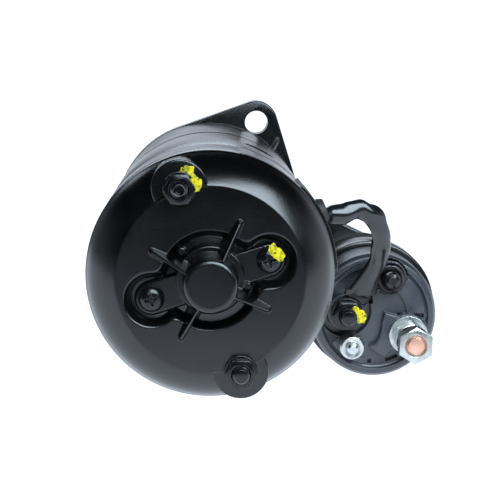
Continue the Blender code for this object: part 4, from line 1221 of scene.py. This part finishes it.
def numbered(word):
    return tuple("%s_%d" % (word, number) for number in range(1, 5))


INNER_FINISHES = {
    machined_steel: ("armature_shaft", "armature_core", "drive_sleeve", "clutch_housing", "pinion",
                     "pinion_stop_ring", "solenoid_plunger", "solenoid_core")
                    + numbered("brush_spring") + numbered("pole_shoe"),
    zinc_plate: ("brush_plate", "lever_pivot_pin", "solenoid_screw_upper", "solenoid_screw_lower"),
    black_steel: ("shift_lever",),
    copper: ("commutator", "contact_bridge"),
    bronze: ("rear_bush", "nose_bush"),
    enamel_wire: ("armature_winding", "field_winding", "solenoid_coil"),
    carbon: numbered("brush"),
    rubber_black: ("solenoid_gasket",),
}


def finish_inner_pieces():
    """Give the CAD pieces inside the motor their finishes."""
    for finish, nodes in INNER_FINISHES.items():
        for node in nodes:
            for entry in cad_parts[node].material_slots:
                entry.material = finish()


# Stage

LIGHT_TINT = (0.76, 0.90, 1.0)
LIGHT_TARGET = (0.02, -0.12, 0.0)
FLOOR_DARK_Y, FLOOR_LIT_Y = -0.56, -0.29
CAMERA_AZIMUTH = 1.78
CAMERA_ELEVATION = 8.41
CAMERA_DISTANCE = 0.500
CAMERA_LENS = 99.9
AIM_RIGHT = 14.3 * MM
AIM_UP = 8.95 * MM


def build_camera():
    """A long lens a little above the motor's axis, turned to the rear cover."""
    yaw, pitch = math.radians(CAMERA_AZIMUTH), math.radians(CAMERA_ELEVATION)
    forward = Vector((math.sin(yaw) * math.cos(pitch), math.cos(yaw) * math.cos(pitch), -math.sin(pitch)))
    right = Vector((math.cos(yaw), -math.sin(yaw), 0.0))
    up = right.cross(forward)
    target = Vector((0.0, RIM_Y, 0.0)) + right * AIM_RIGHT + up * AIM_UP
    data = bpy.data.cameras.new("view")
    data.lens = CAMERA_LENS
    data.sensor_width = 36.0
    data.clip_start = 0.01
    camera = bpy.data.objects.new("view", data)
    camera.location = target - forward * CAMERA_DISTANCE
    camera.rotation_mode = "QUATERNION"
    camera.rotation_quaternion = forward.to_track_quat("-Z", "Y")
    bpy.context.scene.collection.objects.link(camera)
    bpy.context.scene.camera = camera


def soft_light(name, place, width, height, watts):
    """A rectangular softbox turned to the middle of the motor."""
    data = bpy.data.lights.new(name, "AREA")
    data.shape = "RECTANGLE"
    data.size = width
    data.size_y = height
    data.energy = watts
    data.color = LIGHT_TINT
    light = bpy.data.objects.new(name, data)
    light.location = place
    light.rotation_mode = "QUATERNION"
    light.rotation_quaternion = (Vector(LIGHT_TARGET) - Vector(place)).to_track_quat("-Z", "Y")
    bpy.context.scene.collection.objects.link(light)


def build_world():
    """White low down and behind the object, dark overhead and behind the camera; seen plain white."""
    world = bpy.data.worlds.new("studio")
    bpy.context.scene.world = world
    world.use_nodes = True
    tree = world.node_tree
    tree.nodes.clear()
    direction = tree.nodes.new("ShaderNodeTexCoord").outputs["Generated"]
    split = tree.nodes.new("ShaderNodeSeparateXYZ")
    tree.links.new(direction, split.inputs[0])
    low = ranged(tree, split.outputs["Z"], 0.55, 0.12)
    behind = ranged(tree, split.outputs["Y"], -0.55, 0.05)
    dim = ranged(tree, split.outputs["X"], -0.30, -0.04, 0.35, 1.0)
    level = math_node(tree, "MULTIPLY", math_node(tree, "MULTIPLY", low, behind), dim)
    level = math_node(tree, "ADD", math_node(tree, "MULTIPLY", level, 0.85), 0.012)
    lighting = tree.nodes.new("ShaderNodeBackground")
    lighting.inputs["Color"].default_value = (0.82, 0.88, 1.0, 1.0)
    tree.links.new(level, lighting.inputs["Strength"])
    shown = tree.nodes.new("ShaderNodeBackground")
    shown.inputs["Color"].default_value = (1.0, 1.0, 1.0, 1.0)
    shown.inputs["Strength"].default_value = 1.2
    choose = tree.nodes.new("ShaderNodeMixShader")
    path = tree.nodes.new("ShaderNodeLightPath")
    tree.links.new(path.outputs["Is Camera Ray"], choose.inputs[0])
    tree.links.new(lighting.outputs[0], choose.inputs[1])
    tree.links.new(shown.outputs[0], choose.inputs[2])
    output = tree.nodes.new("ShaderNodeOutputWorld")
    tree.links.new(choose.outputs[0], output.inputs["Surface"])


def build_floor():
    """A plain pale floor; what is reflected of it fades to dark in front of the cover."""
    bm = bmesh.new()
    bmesh.ops.create_grid(bm, x_segments=8, y_segments=8, size=3.0)
    mesh = bpy.data.meshes.new("floor")
    bm.to_mesh(mesh)
    bm.free()
    floor = bpy.data.objects.new("floor", mesh)
    mesh.transform(Matrix.Translation((0.0, 0.0, CAD_BOX[0].z - 0.5 * MM)))
    bpy.context.scene.collection.objects.link(floor)
    made, shader = begin_material("pale_floor")
    tree = made.node_tree
    split = tree.nodes.new("ShaderNodeSeparateXYZ")
    tree.links.new(object_vector(tree), split.inputs[0])
    lit = ranged(tree, split.outputs["Y"], FLOOR_DARK_Y, FLOOR_LIT_Y)
    base = mixed(tree, lit, (0.02, 0.02, 0.022), (0.16, 0.17, 0.18))
    tree.links.new(base, shader.inputs["Base Color"])
    path = tree.nodes.new("ShaderNodeLightPath")
    shown = math_node(tree, "MAXIMUM", lit, path.outputs["Is Camera Ray"])
    tree.links.new(mixed(tree, shown, (0.0, 0.0, 0.0), colours().floor), shader.inputs["Emission Color"])
    shader.inputs["Roughness"].default_value = 0.9
    shader.inputs["Emission Strength"].default_value = 1.36
    mesh.materials.append(made)


def build_stage():
    """Camera, world, floor and two softboxes."""
    build_camera()
    build_world()
    build_floor()
    soft_light("key_softbox", (0.32, -0.84, 0.60), 0.95, 0.60, 19.0)
    soft_light("back_softbox", (-0.25, 0.75, 0.55), 0.9, 0.3, 2.5)
    bpy.context.scene.view_settings.view_transform = "Standard"


# Operators and panel

class STARTER_OT_rear_cover(bpy.types.Operator):
    """Build the cast rear cover with its boss, ribs and recess"""

    bl_idname = "starter.rear_cover"
    bl_label = "Rear Cover"

    def execute(self, context):
        build_rear_cover()
        return {"FINISHED"}


class STARTER_OT_cover_fasteners(bpy.types.Operator):
    """Build the studs, nuts, washers and screws of the rear cover"""

    bl_idname = "starter.cover_fasteners"
    bl_label = "Cover Fasteners"

    def execute(self, context):
        build_cover_fasteners()
        return {"FINISHED"}


class STARTER_OT_yoke(bpy.types.Operator):
    """Build the steel tube with its pole screws and grommet"""

    bl_idname = "starter.yoke"
    bl_label = "Yoke"

    def execute(self, context):
        build_yoke()
        return {"FINISHED"}


class STARTER_OT_centre_plate(bpy.types.Operator):
    """Build the disc that carries the middle bearing"""

    bl_idname = "starter.centre_plate"
    bl_label = "Centre Plate"

    def execute(self, context):
        build_centre_plate()
        return {"FINISHED"}


class STARTER_OT_bracket(bpy.types.Operator):
    """Build the casting with flange, ears, lever housing and nose"""

    bl_idname = "starter.bracket"
    bl_label = "Drive-End Bracket"

    def execute(self, context):
        build_bracket()
        return {"FINISHED"}


class STARTER_OT_solenoid_can(bpy.types.Operator):
    """Build the steel can of the solenoid"""

    bl_idname = "starter.solenoid_can"
    bl_label = "Solenoid Can"

    def execute(self, context):
        build_solenoid_can()
        return {"FINISHED"}


class STARTER_OT_solenoid_cap(bpy.types.Operator):
    """Build the solenoid's moulded end cap"""

    bl_idname = "starter.solenoid_cap"
    bl_label = "Solenoid Cap"

    def execute(self, context):
        build_solenoid_cap()
        return {"FINISHED"}


class STARTER_OT_terminals(bpy.types.Operator):
    """Build the studs, nuts and washers on the cap"""

    bl_idname = "starter.terminals"
    bl_label = "Terminals"

    def execute(self, context):
        build_terminals()
        return {"FINISHED"}


class STARTER_OT_lead(bpy.types.Operator):
    """Build the sleeved lead and its lug"""

    bl_idname = "starter.lead"
    bl_label = "Lead"

    def execute(self, context):
        build_lead()
        return {"FINISHED"}


class STARTER_OT_marks(bpy.types.Operator):
    """Build the daubs of inspection paint"""

    bl_idname = "starter.marks"
    bl_label = "Inspection Marks"

    def execute(self, context):
        build_marks()
        return {"FINISHED"}


class STARTER_OT_plunger_spring(bpy.types.Operator):
    """Build the spring inside the solenoid"""

    bl_idname = "starter.plunger_spring"
    bl_label = "Plunger Spring"

    def execute(self, context):
        build_plunger_spring()
        return {"FINISHED"}


class STARTER_OT_inner_finishes(bpy.types.Operator):
    """Give the pieces inside the motor their finishes"""

    bl_idname = "starter.inner_finishes"
    bl_label = "Inner Finishes"

    def execute(self, context):
        finish_inner_pieces()
        return {"FINISHED"}


class STARTER_OT_stage(bpy.types.Operator):
    """Build the floor, the light and the camera"""

    bl_idname = "starter.stage"
    bl_label = "Stage"

    def execute(self, context):
        build_stage()
        return {"FINISHED"}


OPERATORS = (STARTER_OT_rear_cover, STARTER_OT_cover_fasteners, STARTER_OT_yoke,
             STARTER_OT_centre_plate, STARTER_OT_bracket, STARTER_OT_solenoid_can,
             STARTER_OT_solenoid_cap, STARTER_OT_terminals, STARTER_OT_lead,
             STARTER_OT_marks, STARTER_OT_plunger_spring, STARTER_OT_inner_finishes,
             STARTER_OT_stage)


class STARTER_PT_panel(bpy.types.Panel):
    """The starter motor's pieces and sizes."""

    bl_label = "Starter Motor"
    bl_idname = "STARTER_PT_panel"
    bl_space_type = "VIEW_3D"
    bl_region_type = "UI"
    bl_category = "Starter"

    def draw(self, context):
        for operator in OPERATORS:
            self.layout.operator(operator.bl_idname)
        for group in (context.scene.starter_sizes, context.scene.starter_colours):
            for label in group.__annotations__:
                self.layout.prop(group, label)


CLASSES = (StarterSizes, StarterColours) + OPERATORS + (STARTER_PT_panel,)


def register():
    for cls in CLASSES:
        bpy.utils.register_class(cls)
    bpy.types.Scene.starter_sizes = PointerProperty(type=StarterSizes)
    bpy.types.Scene.starter_colours = PointerProperty(type=StarterColours)


def unregister():
    del bpy.types.Scene.starter_colours
    del bpy.types.Scene.starter_sizes
    for cls in reversed(CLASSES):
        bpy.utils.unregister_class(cls)


def main():
    register()
    bpy.ops.starter.rear_cover()
    bpy.ops.starter.cover_fasteners()
    bpy.ops.starter.yoke()
    bpy.ops.starter.centre_plate()
    bpy.ops.starter.bracket()
    bpy.ops.starter.solenoid_can()
    bpy.ops.starter.solenoid_cap()
    bpy.ops.starter.terminals()
    bpy.ops.starter.lead()
    bpy.ops.starter.marks()
    bpy.ops.starter.plunger_spring()
    bpy.ops.starter.inner_finishes()
    bpy.ops.starter.stage()


if __name__ == "__main__":
    main()
